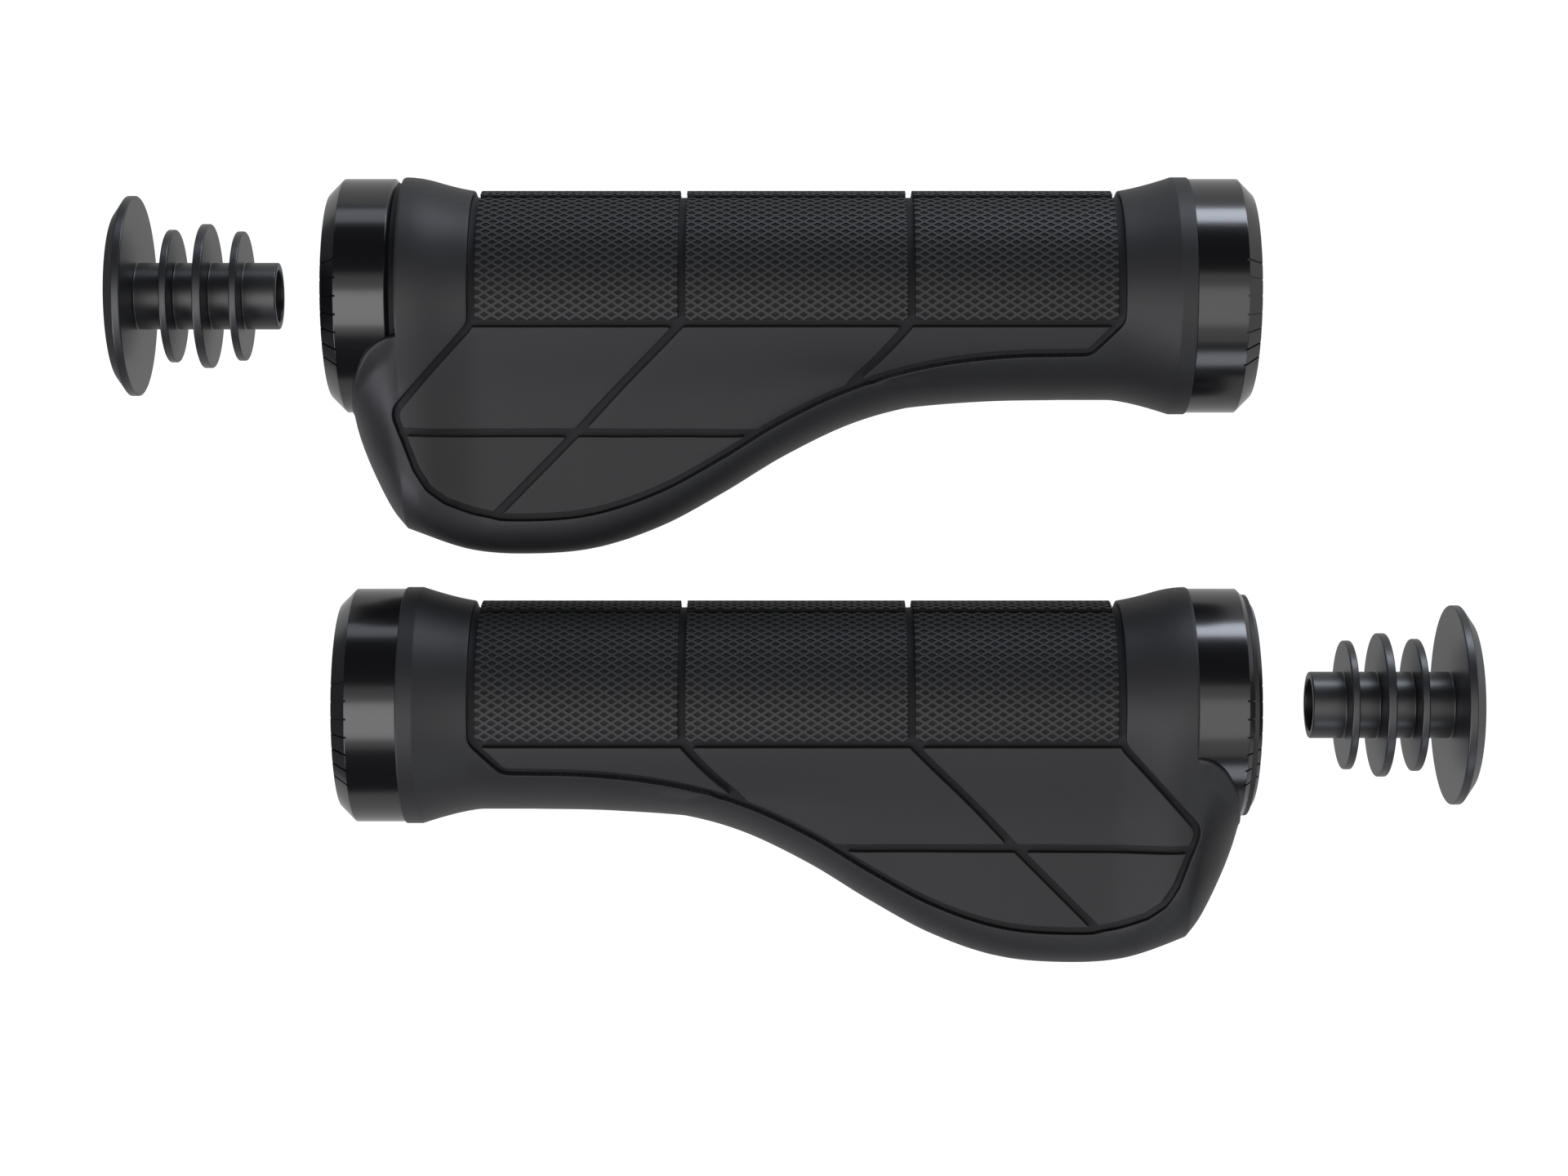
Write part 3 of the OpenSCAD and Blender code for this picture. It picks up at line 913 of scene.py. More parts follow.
@dataclass
class Shell:
    """The rubber frame of one grip, drawn as the right-hand one. Sizes in millimetres."""

    form: GripForm
    sheet: Sheet
    layout: PadLayout
    lip: Lip
    grid: float = 0.85
    rim_round: float = 0.18
    bore_r: float = 12.6
    socket_r: float = 17.0
    socket_depth: float = 2.1
    mouth_r: float = 17.55
    past_end: float = 80.0
    off_recess: float = 0.62
    off_lip: float = 0.7
    close_columns: float = 0.4
    buried: float = 9.0
    lip_roll: tuple[tuple[float, float], ...] = ((0.5, 0.0), (0.3, 0.03), (0.15, 0.1), (0.05, 0.22),
                                                 (0.0, 0.42))
    lip_line: np.ndarray = field(init=False)

    def __post_init__(self) -> None:
        """Lays the lip's edge on the sheet."""
        outline = self.lip.outline()
        across = self.sheet.across(outline[:, 0], outline[:, 1])
        self.lip_line = np.column_stack([outline[:, 0], across])

    def recess(self) -> np.ndarray:
        """Outline of the whole recess on the sheet."""
        form, layout = self.form, self.layout
        palm = layout.palm_outline(form)
        palm = self.sheet.from_above(palm[palm[:, 1] > 0.5])
        front = layout.front_span[0] - layout.front_margin
        ends = np.array([layout.column_edge, -layout.column_edge])
        across = self.sheet.across(ends, np.array([front, front]))
        corners = rounded([(ends[1], palm[0][1]), (ends[1], across[1]), (ends[0], across[0]),
                           (ends[0], palm[-1][1])], layout.front_round, 5, 0.0, closed=False)
        outline = counterclockwise(np.vstack([palm, corners[::-1][1:-1]]))
        return counterclockwise(even_steps(outline, layout.outline_step))

    def in_lobe(self, points: np.ndarray) -> np.ndarray:
        """Signed distance of sheet points from the lip's edge, positive inside the lobe."""
        base = np.array([[self.form.shell_end - 8, self.lip_line[-1][1]],
                         [self.form.shell_end - 8, self.lip_line[0][1]]])
        return depth_inside(points, np.vstack([self.lip_line, base]))

    def lipped(self, u: np.ndarray, angle: np.ndarray) -> np.ndarray:
        """Radius of the surface, with the lobe kept a lip's thickness off the ring."""
        past = smooth((u - self.form.shell_end) / 1.6)
        least = self.form.ring_clear_r + self.lip.thickness * past
        base = self.form.radius(u, angle)
        return np.where(u > self.form.shell_end, np.maximum(base, least), base)

    def net(self) -> Net:
        """Lays out the frame's surface: a grid, the recess's rings and the lip's rings."""
        form, sheet, net = self.form, self.sheet, Net()
        outline = self.recess()
        deep = self.layout.recess_depth
        foot = ((-0.05, deep - 0.16), (-0.1, deep - 0.04), (-0.2, deep))
        for distance, depth in (*self.layout.edge_round[::-1], *foot):
            net.add(offset(outline, distance), depth, line=True, closed=True)
        for distance, depth in self.lip_roll:
            net.add(self.shifted_lip(-distance), depth, line=True)
        net.add(self.shifted_lip(0.08), self.buried, line=True)
        columns = self.columns()
        first, second = (np.column_stack([columns, sheet.across(columns, np.full_like(columns, seam))])
                         for seam in (sheet.angles[0], sheet.angles[-1]))
        near, far = self.column(-form.shell_end), self.column(form.lobe_end + 0.5)
        border = np.vstack([near, second[1:-1], far[::-1], first[1:-1][::-1]])
        gaps = np.minimum(np.diff(columns)[:-1], np.diff(columns)[1:])
        for u, gap in zip(columns[1:-1], gaps, strict=True):
            column = self.column(u)[1:-1]
            to_recess = depth_inside(column, outline)
            keep = np.abs(to_recess) > self.off_recess
            if u > form.shell_end + 0.02:
                keep &= np.abs(self.in_lobe(column)) > self.off_lip
            depth = np.where(to_recess > 0, deep, self.end_depth(column))
            breaks = np.flatnonzero(np.diff(keep.astype(int)) != 0) + 1
            for run in np.split(np.arange(len(column)), breaks):
                if keep[run[0]]:
                    joined = gap < self.close_columns and to_recess[run[0]] < 0
                    net.add(column[run], depth[run], line=joined)
        net.add(border, self.end_depth(border), line=True, closed=True)
        return net

    def shifted_lip(self, distance: float) -> np.ndarray:
        """The lip's edge moved outwards on the sheet by a distance."""
        line = self.lip_line
        along = np.gradient(line, axis=0)
        along /= np.linalg.norm(along, axis=1, keepdims=True)
        moved = line + np.column_stack([along[:, 1], -along[:, 0]]) * distance
        moved[0, 0] = moved[-1, 0] = self.form.shell_end + 0.06
        return moved[(moved[:, 0] >= self.form.shell_end + 0.06)]

    def end_depth(self, points: np.ndarray) -> np.ndarray:
        """Depth of the rounding at the shell's ends, and burial of what lies past them outside the lobe."""
        form = self.form
        lobe = np.full(len(points), -9.0)
        late = points[:, 0] > form.shell_end - 2
        lobe[late] = self.in_lobe(points[late])
        to_end = form.shell_end - np.abs(points[:, 0])
        share = np.where(points[:, 0] > 0, 1 - smooth((lobe + 1.2) / 1.2), 1)
        inside = np.clip(1 - to_end / self.rim_round, 0, 1)
        fillet = self.rim_round * (1 - np.sqrt(1 - inside ** 2)) * share
        return np.where((points[:, 0] > form.shell_end + 0.03) & (lobe < 0), self.buried,
                        np.maximum(fillet, 0))

    def columns(self) -> np.ndarray:
        """Places along the bar of the grid's columns, closer where the form turns."""
        form = self.form
        ends = np.array([form.flare_end - 0.14, form.flare_end, form.flare_end + 0.14, form.shell_end - 0.35,
                         form.shell_end - 0.24, form.shell_end - 0.13, form.shell_end - 0.05])
        whole = np.arange(-form.shell_end + 0.9, form.shell_end - 0.4, self.grid)
        lobe = np.arange(form.shell_end + 0.6, form.lobe_end, 0.6)
        edges = [-form.shell_end, form.shell_end, form.shell_end + 0.06, form.lobe_end + 0.5]
        every = np.sort(np.concatenate([edges, -ends, whole, ends, lobe]))
        fixed = np.concatenate([ends, -ends])
        kept = [every[0]]
        for u in every[1:]:
            if u - kept[-1] > 0.045 and (np.min(np.abs(fixed - u)) < 1e-6
                                         or np.min(np.abs(fixed - u)) > 0.3 or u > form.shell_end - 0.01
                                         or u < -form.shell_end + 0.01):
                kept.append(u)
        return np.array(kept)

    def column(self, u: float) -> np.ndarray:
        """Sheet points round the section at u."""
        row = self.sheet.row(u)
        count = max(60, round((row[-1] - row[0]) / (self.grid * 1.05)))
        return np.column_stack([np.full(count + 1, u), np.linspace(row[0], row[-1], count + 1)])

    def mesh(self) -> Mesh:
        """Builds the frame.

        Returns:
            The closed frame, with its bore, its sockets and the space for the outer ring.
        """
        form = self.form
        flat, depth, faces = self.net().triangulated()
        u, angle = flat[:, 0], self.sheet.angle(flat[:, 0], flat[:, 1])
        buried = depth > self.buried / 2
        points = form.sunk(u, angle, np.where(buried, 0, depth), self.lipped)
        points[buried] = form.point(u, angle, np.full(len(u), self.lip.buried_r))[buried]
        # Faces deep in the recess take the second material, whose darker colour is painted shade in the floor
        # and grooves.
        floor = [int(np.mean(depth[list(face)]) > 0.6 * self.layout.recess_depth
                     and not buried[list(face)].any()) for face in faces]
        outer = capped(welded(Mesh(points, faces, floor), 0.004))
        past = self.past_end
        tools = [lathe(np.array([(-past, 0.0), (-past, self.bore_r), (past, self.bore_r), (past, 0.0)]), 96)]
        for sign in (-1, 1):
            depth_in = form.shell_end - self.socket_depth
            mouth = form.shell_end - (self.mouth_r - self.socket_r)
            steps = [(sign * depth_in, 0.0), (sign * depth_in, self.socket_r), (sign * mouth, self.socket_r),
                     (sign * form.shell_end, self.mouth_r)]
            if sign > 0:
                steps.append((form.shell_end, form.ring_clear_r))
                steps += [(past, form.ring_clear_r), (past, 0.0)]
            else:
                steps += [(-past, self.mouth_r), (-past, 0.0)]
            tools.append(lathe(np.array(steps), 192))
        return cut(outer, tools)


def capped(mesh: Mesh) -> Mesh:
    """Closes the open ends of a tube.

    Args:
        mesh: The tube.

    Returns:
        The closed mesh, with its faces outwards.
    """
    thing = blender_object(mesh, "cap")
    form = bmesh.new()
    form.from_mesh(thing.data)
    bmesh.ops.holes_fill(form, edges=[e for e in form.edges if e.is_boundary], sides=0)
    bmesh.ops.triangulate(form, faces=[f for f in form.faces if len(f.verts) > 4])
    bmesh.ops.recalc_face_normals(form, faces=form.faces)
    form.to_mesh(thing.data)
    form.free()
    return taken_back(thing)


@dataclass(frozen=True)
class Pad:
    """A soft pad that fills part of the recess, with its upper edge rounded."""

    outline: np.ndarray
    bottom: float = 0.95
    grid: float = 1.0
    outline_step: float = 0.6
    least_inset: float = 0.85

    def mesh(self, form: GripForm, sheet: Sheet, edge: Sequence[tuple[float, float]]) -> Mesh:
        """Builds the pad.

        Args:
            form: The grip's form.
            sheet: Its surface rolled out.
            edge: Inset and depth of each ring of the rounded edge, from the side to the top.

        Returns:
            The closed pad.
        """
        outline = counterclockwise(even_steps(counterclockwise(self.outline), self.outline_step))
        low, high = outline.min(axis=0), outline.max(axis=0)
        net = Net()
        for inset, depth in edge:
            ring = offset(outline, -inset)
            clear = depth_inside(ring, outline) >= self.least_inset * inset - 1e-6
            net.add(ring[clear] if inset else ring, depth, line=True, closed=True)
        us, ts = np.meshgrid(np.arange(low[0], high[0], self.grid), np.arange(low[1], high[1], self.grid))
        cloud = np.column_stack([us.ravel(), ts.ravel()])
        net.add(cloud[depth_inside(cloud, outline) > edge[-1][0] + 0.35], 0.0)
        flat, depth, faces = net.triangulated()
        u, angle = flat[:, 0], sheet.angle(flat[:, 0], flat[:, 1])
        top = Mesh(form.sunk(u, angle, depth), faces)
        under = Mesh(form.sunk(u, angle, np.full(len(u), self.bottom)), faces).flipped()
        whole = top.joined(under)
        count, shift = len(outline), len(top.points)
        order = [int(np.argmin(np.linalg.norm(flat - p, axis=1))) for p in outline]
        walls = [(order[i], order[i] + shift, order[(i + 1) % count] + shift, order[(i + 1) % count])
                 for i in range(count)]
        return welded(Mesh(whole.points, whole.faces + walls), 1e-4)


# ---------------------------------------------------------------- knurl


class Nodes:
    """A geometry tree under construction, with short ways to add its nodes."""

    def __init__(self, name: str, inputs: dict[str, float]) -> None:
        """Starts a tree.

        Args:
            name: The tree's name.
            inputs: Its named inputs and their values.
        """
        self.tree = bpy.data.node_groups.new(name, "GeometryNodeTree")
        face = self.tree.interface
        face.new_socket("Geometry", in_out="INPUT", socket_type="NodeSocketGeometry")
        for label, value in inputs.items():
            face.new_socket(label, in_out="INPUT", socket_type="NodeSocketFloat").default_value = value
        face.new_socket("Material", in_out="INPUT", socket_type="NodeSocketMaterial")
        face.new_socket("Geometry", in_out="OUTPUT", socket_type="NodeSocketGeometry")
        self.given = self.add("NodeGroupInput")
        self.out = self.add("NodeGroupOutput")

    def add(self, kind: str, **settings: object) -> bpy.types.Node:
        """Adds a node with its properties set."""
        return node_of(self.tree, kind, **settings)

    def feed(self, socket: bpy.types.NodeSocket, value: object) -> None:
        """Gives a socket a value or a link."""
        if isinstance(value, bpy.types.NodeSocket):
            self.tree.links.new(value, socket)
        else:
            socket.default_value = value

    def math(self, operation: str, *values: object) -> bpy.types.NodeSocket:
        """Adds a sum of one, two or three values and gives its result."""
        node = self.add("ShaderNodeMath", operation=operation)
        for socket, value in zip(node.inputs, values, strict=False):
            self.feed(socket, value)
        return node.outputs[0]

    def vector(self, x: object, y: object, z: object) -> bpy.types.NodeSocket:
        """Adds a vector of three values."""
        node = self.add("ShaderNodeCombineXYZ")
        for socket, value in zip(node.inputs, (x, y, z), strict=True):
            self.feed(socket, value)
        return node.outputs[0]


SHORTEST_RIDGE = 0.5
RIDGE_STEP = 1.6


def knurl_tree() -> bpy.types.NodeTree:
    """Builds the tree that lays two crossing families of ridges on a pad of the barrel.

    Each ridge is a straight line on the pad rolled out flat, cut off at the pad's border, given a
    section and then bent round the barrel.

    Returns:
        The tree. Its lengths are in millimetres and its angle in radians.
    """
    made = Nodes("knurl_ridges", {"Half Length": 15.0, "Half Arc": 11.0, "Pitch": 1.0, "Lay": 0.55,
                                  "Ridge Width": 0.3, "Ridge Height": 0.2, "Barrel Radius": 15.6,
                                  "Middle": 0.0, "Middle Angle": 0.0})
    given, math_of = made.given.outputs, made.math
    sine, cosine = math_of("SINE", given["Lay"]), math_of("COSINE", given["Lay"])
    span = math_of("ADD", math_of("MULTIPLY", given["Half Length"], sine),
                   math_of("MULTIPLY", given["Half Arc"], cosine))
    half_count = math_of("CEIL", math_of("DIVIDE", span, given["Pitch"]))
    count = math_of("ADD", math_of("MULTIPLY", half_count, 2.0), 1.0)
    families = made.add("GeometryNodeJoinGeometry")
    for sign in (1.0, -1.0):
        lines = made.add("GeometryNodePoints")
        made.feed(lines.inputs["Count"], count)
        index = made.add("GeometryNodeInputIndex").outputs[0]
        shift = math_of("MULTIPLY", math_of("SUBTRACT", index, half_count), given["Pitch"])
        x = math_of("MULTIPLY", shift, math_of("MULTIPLY", sine, -sign))
        y = math_of("MULTIPLY", shift, cosine)
        starts, ends = [], []
        for at, limit, step in ((x, given["Half Length"], cosine), (math_of("MULTIPLY", y, sign),
                                                                    given["Half Arc"], sine)):
            starts.append(math_of("DIVIDE", math_of("SUBTRACT", math_of("MULTIPLY", limit, -1.0), at), step))
            ends.append(math_of("DIVIDE", math_of("SUBTRACT", limit, at), step))
        start, end = math_of("MAXIMUM", *starts), math_of("MINIMUM", *ends)
        length = math_of("SUBTRACT", end, start)
        place = made.vector(math_of("MULTIPLY_ADD", start, cosine, x),
                            math_of("MULTIPLY_ADD", start, math_of("MULTIPLY", sine, sign), y), 0.0)
        size = made.vector(length, 1.0, 1.0)
        fields = made.add("GeometryNodeStoreNamedAttribute", data_type="FLOAT_VECTOR", domain="POINT")
        made.feed(fields.inputs["Name"], "size")
        made.feed(fields.inputs["Geometry"], lines.outputs[0])
        made.feed(fields.inputs["Value"], size)
        placed = made.add("GeometryNodeSetPosition")
        made.feed(placed.inputs["Geometry"], fields.outputs[0])
        made.feed(placed.inputs["Position"], place)
        short = made.add("GeometryNodeDeleteGeometry", domain="POINT")
        stored = made.add("GeometryNodeInputNamedAttribute", data_type="FLOAT_VECTOR")
        made.feed(stored.inputs["Name"], "size")
        parts = made.add("ShaderNodeSeparateXYZ")
        made.feed(parts.inputs[0], stored.outputs[0])
        made.feed(short.inputs["Geometry"], placed.outputs[0])
        made.feed(short.inputs["Selection"], math_of("LESS_THAN", parts.outputs[0], SHORTEST_RIDGE))
        stroke = made.add("GeometryNodeCurvePrimitiveLine")
        made.feed(stroke.inputs["Start"], (0.0, 0.0, 0.0))
        made.feed(stroke.inputs["End"], (1.0, 0.0, 0.0))
        strokes = made.add("GeometryNodeInstanceOnPoints")
        made.feed(strokes.inputs["Points"], short.outputs[0])
        made.feed(strokes.inputs["Instance"], stroke.outputs[0])
        made.feed(strokes.inputs["Rotation"], made.vector(0.0, 0.0, math_of("MULTIPLY", given["Lay"], sign)))
        made.feed(strokes.inputs["Scale"], stored.outputs[0])
        made.tree.links.new(strokes.outputs[0], families.inputs[0])
    real = made.add("GeometryNodeRealizeInstances")
    made.feed(real.inputs[0], families.outputs[0])
    fine = made.add("GeometryNodeResampleCurve", mode="LENGTH")
    made.feed(fine.inputs["Curve"], real.outputs[0])
    made.feed(fine.inputs["Length"], RIDGE_STEP)
    even = made.add("GeometryNodeSetCurveRadius")
    made.feed(even.inputs["Curve"], fine.outputs[0])
    made.feed(even.inputs["Radius"], 1.0)
    upright = made.add("GeometryNodeSetCurveNormal", mode="Z_UP")
    made.feed(upright.inputs["Curve"], even.outputs[0])
    section = made.add("GeometryNodeCurvePrimitiveQuadrilateral", mode="TRAPEZOID")
    made.feed(section.inputs["Bottom Width"], math_of("MULTIPLY", given["Ridge Width"], 1.2))
    made.feed(section.inputs["Top Width"], math_of("MULTIPLY", given["Ridge Width"], 0.85))
    made.feed(section.inputs["Height"], math_of("MULTIPLY", given["Ridge Height"], 2.0))
    made.feed(section.inputs["Offset"], 0.0)
    ridges = made.add("GeometryNodeCurveToMesh")
    made.feed(ridges.inputs["Curve"], upright.outputs[0])
    made.feed(ridges.inputs["Profile Curve"], section.outputs[0])
    made.feed(ridges.inputs["Fill Caps"], True)
    where = made.add("GeometryNodeInputPosition")
    flat = made.add("ShaderNodeSeparateXYZ")
    made.feed(flat.inputs[0], where.outputs[0])
    r = math_of("ADD", flat.outputs[2], given["Barrel Radius"])
    angle = math_of("ADD", math_of("DIVIDE", flat.outputs[1], given["Barrel Radius"]), given["Middle Angle"])
    bent = made.vector(math_of("ADD", flat.outputs[0], given["Middle"]),
                       math_of("MULTIPLY", math_of("MULTIPLY", r, math_of("SINE", angle)), -1.0),
                       math_of("MULTIPLY", r, math_of("COSINE", angle)))
    bend = made.add("GeometryNodeSetPosition")
    made.feed(bend.inputs["Geometry"], ridges.outputs[0])
    made.feed(bend.inputs["Position"], bent)
    whole = made.add("GeometryNodeRealizeInstances")
    made.feed(whole.inputs[0], bend.outputs[0])
    dressed = made.add("GeometryNodeSetMaterial")
    made.feed(dressed.inputs["Geometry"], whole.outputs[0])
    made.feed(dressed.inputs["Material"], given["Material"])
    made.feed(made.out.inputs[0], dressed.outputs[0])
    return made.tree


@dataclass(frozen=True)
class Knurl:
    """The diamond knurl of the barrel pads. Pitches along the bar and round it, in millimetres."""

    along: float = 2.06
    around: float = 1.27
    width: float = 0.29
    height: float = 0.13
    margins: tuple[float, float] = (0.04, 0.06)

    def ridges(self, tree: bpy.types.NodeTree, form: GripForm, ends: tuple[float, float],
               span: tuple[float, float], material: bpy.types.Material) -> Mesh:
        """Lays the ridges of one pad.

        Args:
            tree: The knurl tree.
            form: The grip's form.
            ends: Where the pad starts and ends along the bar.
            span: The angles that it spans.
            material: The ridges' material.

        Returns:
            The ridges, each a closed strip.
        """
        lay = math.atan2(self.around, self.along)
        per_degree = math.radians(form.barrel_r)
        values = {"Half Length": (ends[1] - ends[0]) / 2 - self.margins[0],
                  "Half Arc": (span[1] - span[0]) / 2 * per_degree - self.margins[1],
                  "Pitch": self.along * math.sin(lay), "Lay": lay, "Ridge Width": self.width,
                  "Ridge Height": self.height, "Barrel Radius": form.barrel_r,
                  "Middle": (ends[0] + ends[1]) / 2, "Middle Angle": math.radians(sum(span) / 2)}
        thing = blender_object(block((0, 0, 0), (1, 1, 1)), "ridges")
        step = thing.modifiers.new("knurl", "NODES")
        step.node_group = tree
        for item in tree.interface.items_tree:
            if item.in_out == "INPUT" and item.name in values:
                step[item.identifier] = float(values[item.name])
            elif item.in_out == "INPUT" and item.name == "Material":
                step[item.identifier] = material
        laid = taken_back(thing)
        return welded(Mesh(laid.points, laid.faces, [1] * len(laid.faces)), 1e-4)


# ---------------------------------------------------------------- clamps, bolts and plugs


@dataclass(frozen=True)
class ClampRing:
    """A split clamp ring, drawn for the outer end. Sizes in millimetres, angles in degrees."""

    bore_r: float
    shell_end: float
    outer_end: float
    ring_r: float = 17.5
    spigot_r: float = 16.85
    spigot_start: float = 56.4
    neck_r: float = 13.6
    neck_end: float = 60.9
    neck_gap: float = 0.7
    slip: float = 0.15
    chamfer: float = 2.2
    micro: float = 0.12
    lugs: tuple[float, ...] = (0.0, 120.0, 240.0)
    lug_w: float = 4.0
    lug_root_r: float = 13.0
    lug_r: float = 15.1
    split_w: float = 1.5
    bolt_inset: float = 5.1
    bolt_drop: float = 14.25
    bolt_r: float = 1.55
    head_r: float = 3.0
    head_seat: float = 4.0
    ticks: int = 7
    tick_centre: float = 14.0
    tick_pitch: float = 8.8
    tick_w: float = 0.32
    tick_depth: float = 0.22

    @property
    def bolt_u(self) -> float:
        """Place of the bolt's axis along the bar."""
        return self.shell_end + self.bolt_inset

    def mesh(self) -> Mesh:
        """Builds the ring.

        Returns:
            The closed ring with its notches, split, bolt pocket and index lines.
        """
        neck = self.neck_r + self.slip
        step = self.ring_r - self.spigot_r
        corners = [(self.neck_end + self.neck_gap, self.bore_r), (self.neck_end + self.neck_gap, neck),
                   (self.spigot_start, neck), (self.spigot_start, self.spigot_r),
                   (self.shell_end - step, self.spigot_r), (self.shell_end, self.ring_r),
                   (self.outer_end - self.chamfer, self.ring_r), (self.outer_end, self.ring_r - self.chamfer),
                   (self.outer_end, self.bore_r)]
        ring = lathe(rounded(corners, self.micro), 256)
        half = self.lug_w / 2 + self.slip
        notch = block((self.spigot_start - 1, -half, self.lug_root_r),
                      (self.neck_end + self.neck_gap, half, self.lug_r + self.slip))
        tools = [turned(notch, a) for a in self.lugs]
        tools.append(block((self.spigot_start - 1, -self.split_w / 2, -60),
                           (self.outer_end + 9, self.split_w / 2, -5)))
        tools += [upright(lathe(profile, 64), self.bolt_u, -self.bolt_drop) for profile in (
            np.array([(-60.0, 0.0), (-60.0, self.bolt_r), (60.0, self.bolt_r), (60.0, 0.0)]),
            np.array([(self.head_seat, 0.0), (self.head_seat, self.head_r), (60.0, self.head_r),
                      (60.0, 0.0)]))]
        first = self.tick_centre - (self.ticks - 1) / 2 * self.tick_pitch
        tools += [turned(self.tick(), first + i * self.tick_pitch) for i in range(self.ticks)]
        ring = cut(ring, tools)
        middles = np.array([ring.points[list(face)].mean(axis=0) for face in ring.faces])
        r = np.hypot(middles[:, 1], middles[:, 2])
        inner = (r < self.spigot_r + 0.3) & (middles[:, 0] < self.shell_end + 0.1)
        return Mesh(ring.points, ring.faces, [int(flag) for flag in inner])

    def tick(self) -> Mesh:
        """The cutter of an index line across the chamfer, at the top of the ring."""
        bar = block((-2, -self.tick_w / 2, -self.tick_depth), (2, self.tick_w / 2, 1))
        u, v, w = bar.points.T
        lean = math.sqrt(0.5)
        points = np.column_stack([(u + w) * lean, v, (w - u) * lean])
        return Mesh(points, bar.faces).moved(self.outer_end - self.chamfer / 2, 0,
                                             self.ring_r - self.chamfer / 2)


def upright(mesh: Mesh, u: float, w: float) -> Mesh:
    """Lays a lathed mesh across the bar: its own axis, along u, comes to point forward, at a place."""
    a, b, c = mesh.points.T
    return Mesh(np.column_stack([b + u, a, w - c]), mesh.faces)


@dataclass(frozen=True)
class Bolt:
    """The socket head bolt of a clamp. Sizes in millimetres."""

    thread_r: float = 1.5
    head_r: float = 2.75
    head_len: float = 3.0
    length: float = 12.0
    seat: float = 4.05
    pitch: float = 0.5
    thread_depth: float = 0.16
    hex_af: float = 2.5
    hex_depth: float = 1.6
    knurls: int = 30

    def mesh(self) -> Mesh:
        """Builds the bolt on its own axis, head towards +u."""
        head = rounded([(self.seat, 0.0), (self.seat, self.head_r), (self.seat + self.head_len, self.head_r),
                        (self.seat + self.head_len, 0.0)], 0.22, 4, 0.1, closed=False)
        steps = self.knurls * 4
        solid = lathe(head, steps)
        u, v, w = solid.points.T
        r, a = np.hypot(v, w), np.arctan2(v, w)
        band = smooth((r - self.head_r + 0.3) / 0.25) * smooth((u - self.seat - 0.3) / 0.2)
        shrink = 1 - band * 0.03 * (1 + np.sign(np.cos(a * self.knurls))) / 2
        solid = Mesh(np.column_stack([u, v * shrink, w * shrink]), solid.faces)
        hexagon = lathe(np.array([(self.seat + self.head_len - self.hex_depth, 0.0),
                                  (self.seat + self.head_len - self.hex_depth, self.hex_af / math.sqrt(3)),
                                  (self.seat + 9, self.hex_af / math.sqrt(3)), (self.seat + 9, 0.0)]), 6)
        return cut(solid, [hexagon]).joined(self.shank())

    def shank(self) -> Mesh:
        """Builds the threaded shank."""
        start, end = self.seat - self.length, self.seat + 0.3
        rows = int((end - start) / self.pitch * 5) + 1
        side = [(start + (end - start) * i / (rows - 1), self.thread_r) for i in range(rows)]
        profile = [(start, 0.0), *side, (end, 0.0)]
        rod = lathe(np.array(profile), 24)
        u, v, w = rod.points.T
        r, a = np.hypot(v, w), np.arctan2(v, w)
        wave = np.abs(((u / self.pitch + a / (2 * math.pi)) % 1) * 2 - 1)
        tip = smooth((u - start) / 0.7)
        new = np.where(r > 0.1, self.thread_r - self.thread_depth * wave - 0.25 * (1 - tip), 0)
        scale = np.where(r > 0.1, new / np.maximum(r, 0.1), 1)
        return Mesh(np.column_stack([u, v * scale, w * scale]), rod.faces)


@dataclass(frozen=True)
class EndPlug:
    """A bar end plug, drawn with its cap's inner face at u = 0. Sizes in millimetres."""

    cap_r: float = 15.0
    cap_t: float = 2.85
    cap_rim: float = 1.2
    face_r: float = 12.65
    stem_r: float = 5.0
    stem_len: float = 21.2
    bore_r: float = 3.95
    fins: tuple[tuple[float, float, float], ...] = ((15.6, 9.7, 1.15), (10.45, 10.8, 1.35), (5.3, 9.95, 1.15))
    root: float = 0.22
    bore_end: float = 1.0
    dish_rim: float = 1.6
    dish_slope: float = 0.4
    dish_depth: float = 0.25

    def mesh(self) -> Mesh:
        """Builds the plug.

        Returns:
            The closed plug: hollow stem, three fins and a chamfered cap with a shallow dished face.
        """
        corners = [(-self.bore_end, 0.0), (-self.bore_end, self.bore_r), (-self.stem_len, self.bore_r),
                   (-self.stem_len, self.stem_r)]
        for place, r, thick in self.fins:
            near, far = -place - thick / 2, -place + thick / 2
            corners += [(near, self.stem_r), (near, r), (far, r), (far, self.stem_r)]
        dish, dish_r = self.cap_t - self.dish_depth, self.face_r - self.dish_rim
        corners += [(0.0, self.stem_r), (0.0, self.cap_r), (self.cap_rim, self.cap_r),
                    (self.cap_t, self.face_r),
                    (self.cap_t, dish_r), (dish, dish_r - self.dish_slope), (dish, 0.0)]
        return lathe(rounded(corners, self.root, 4, 0.08, closed=False), 160)


# ---------------------------------------------------------------- assembly


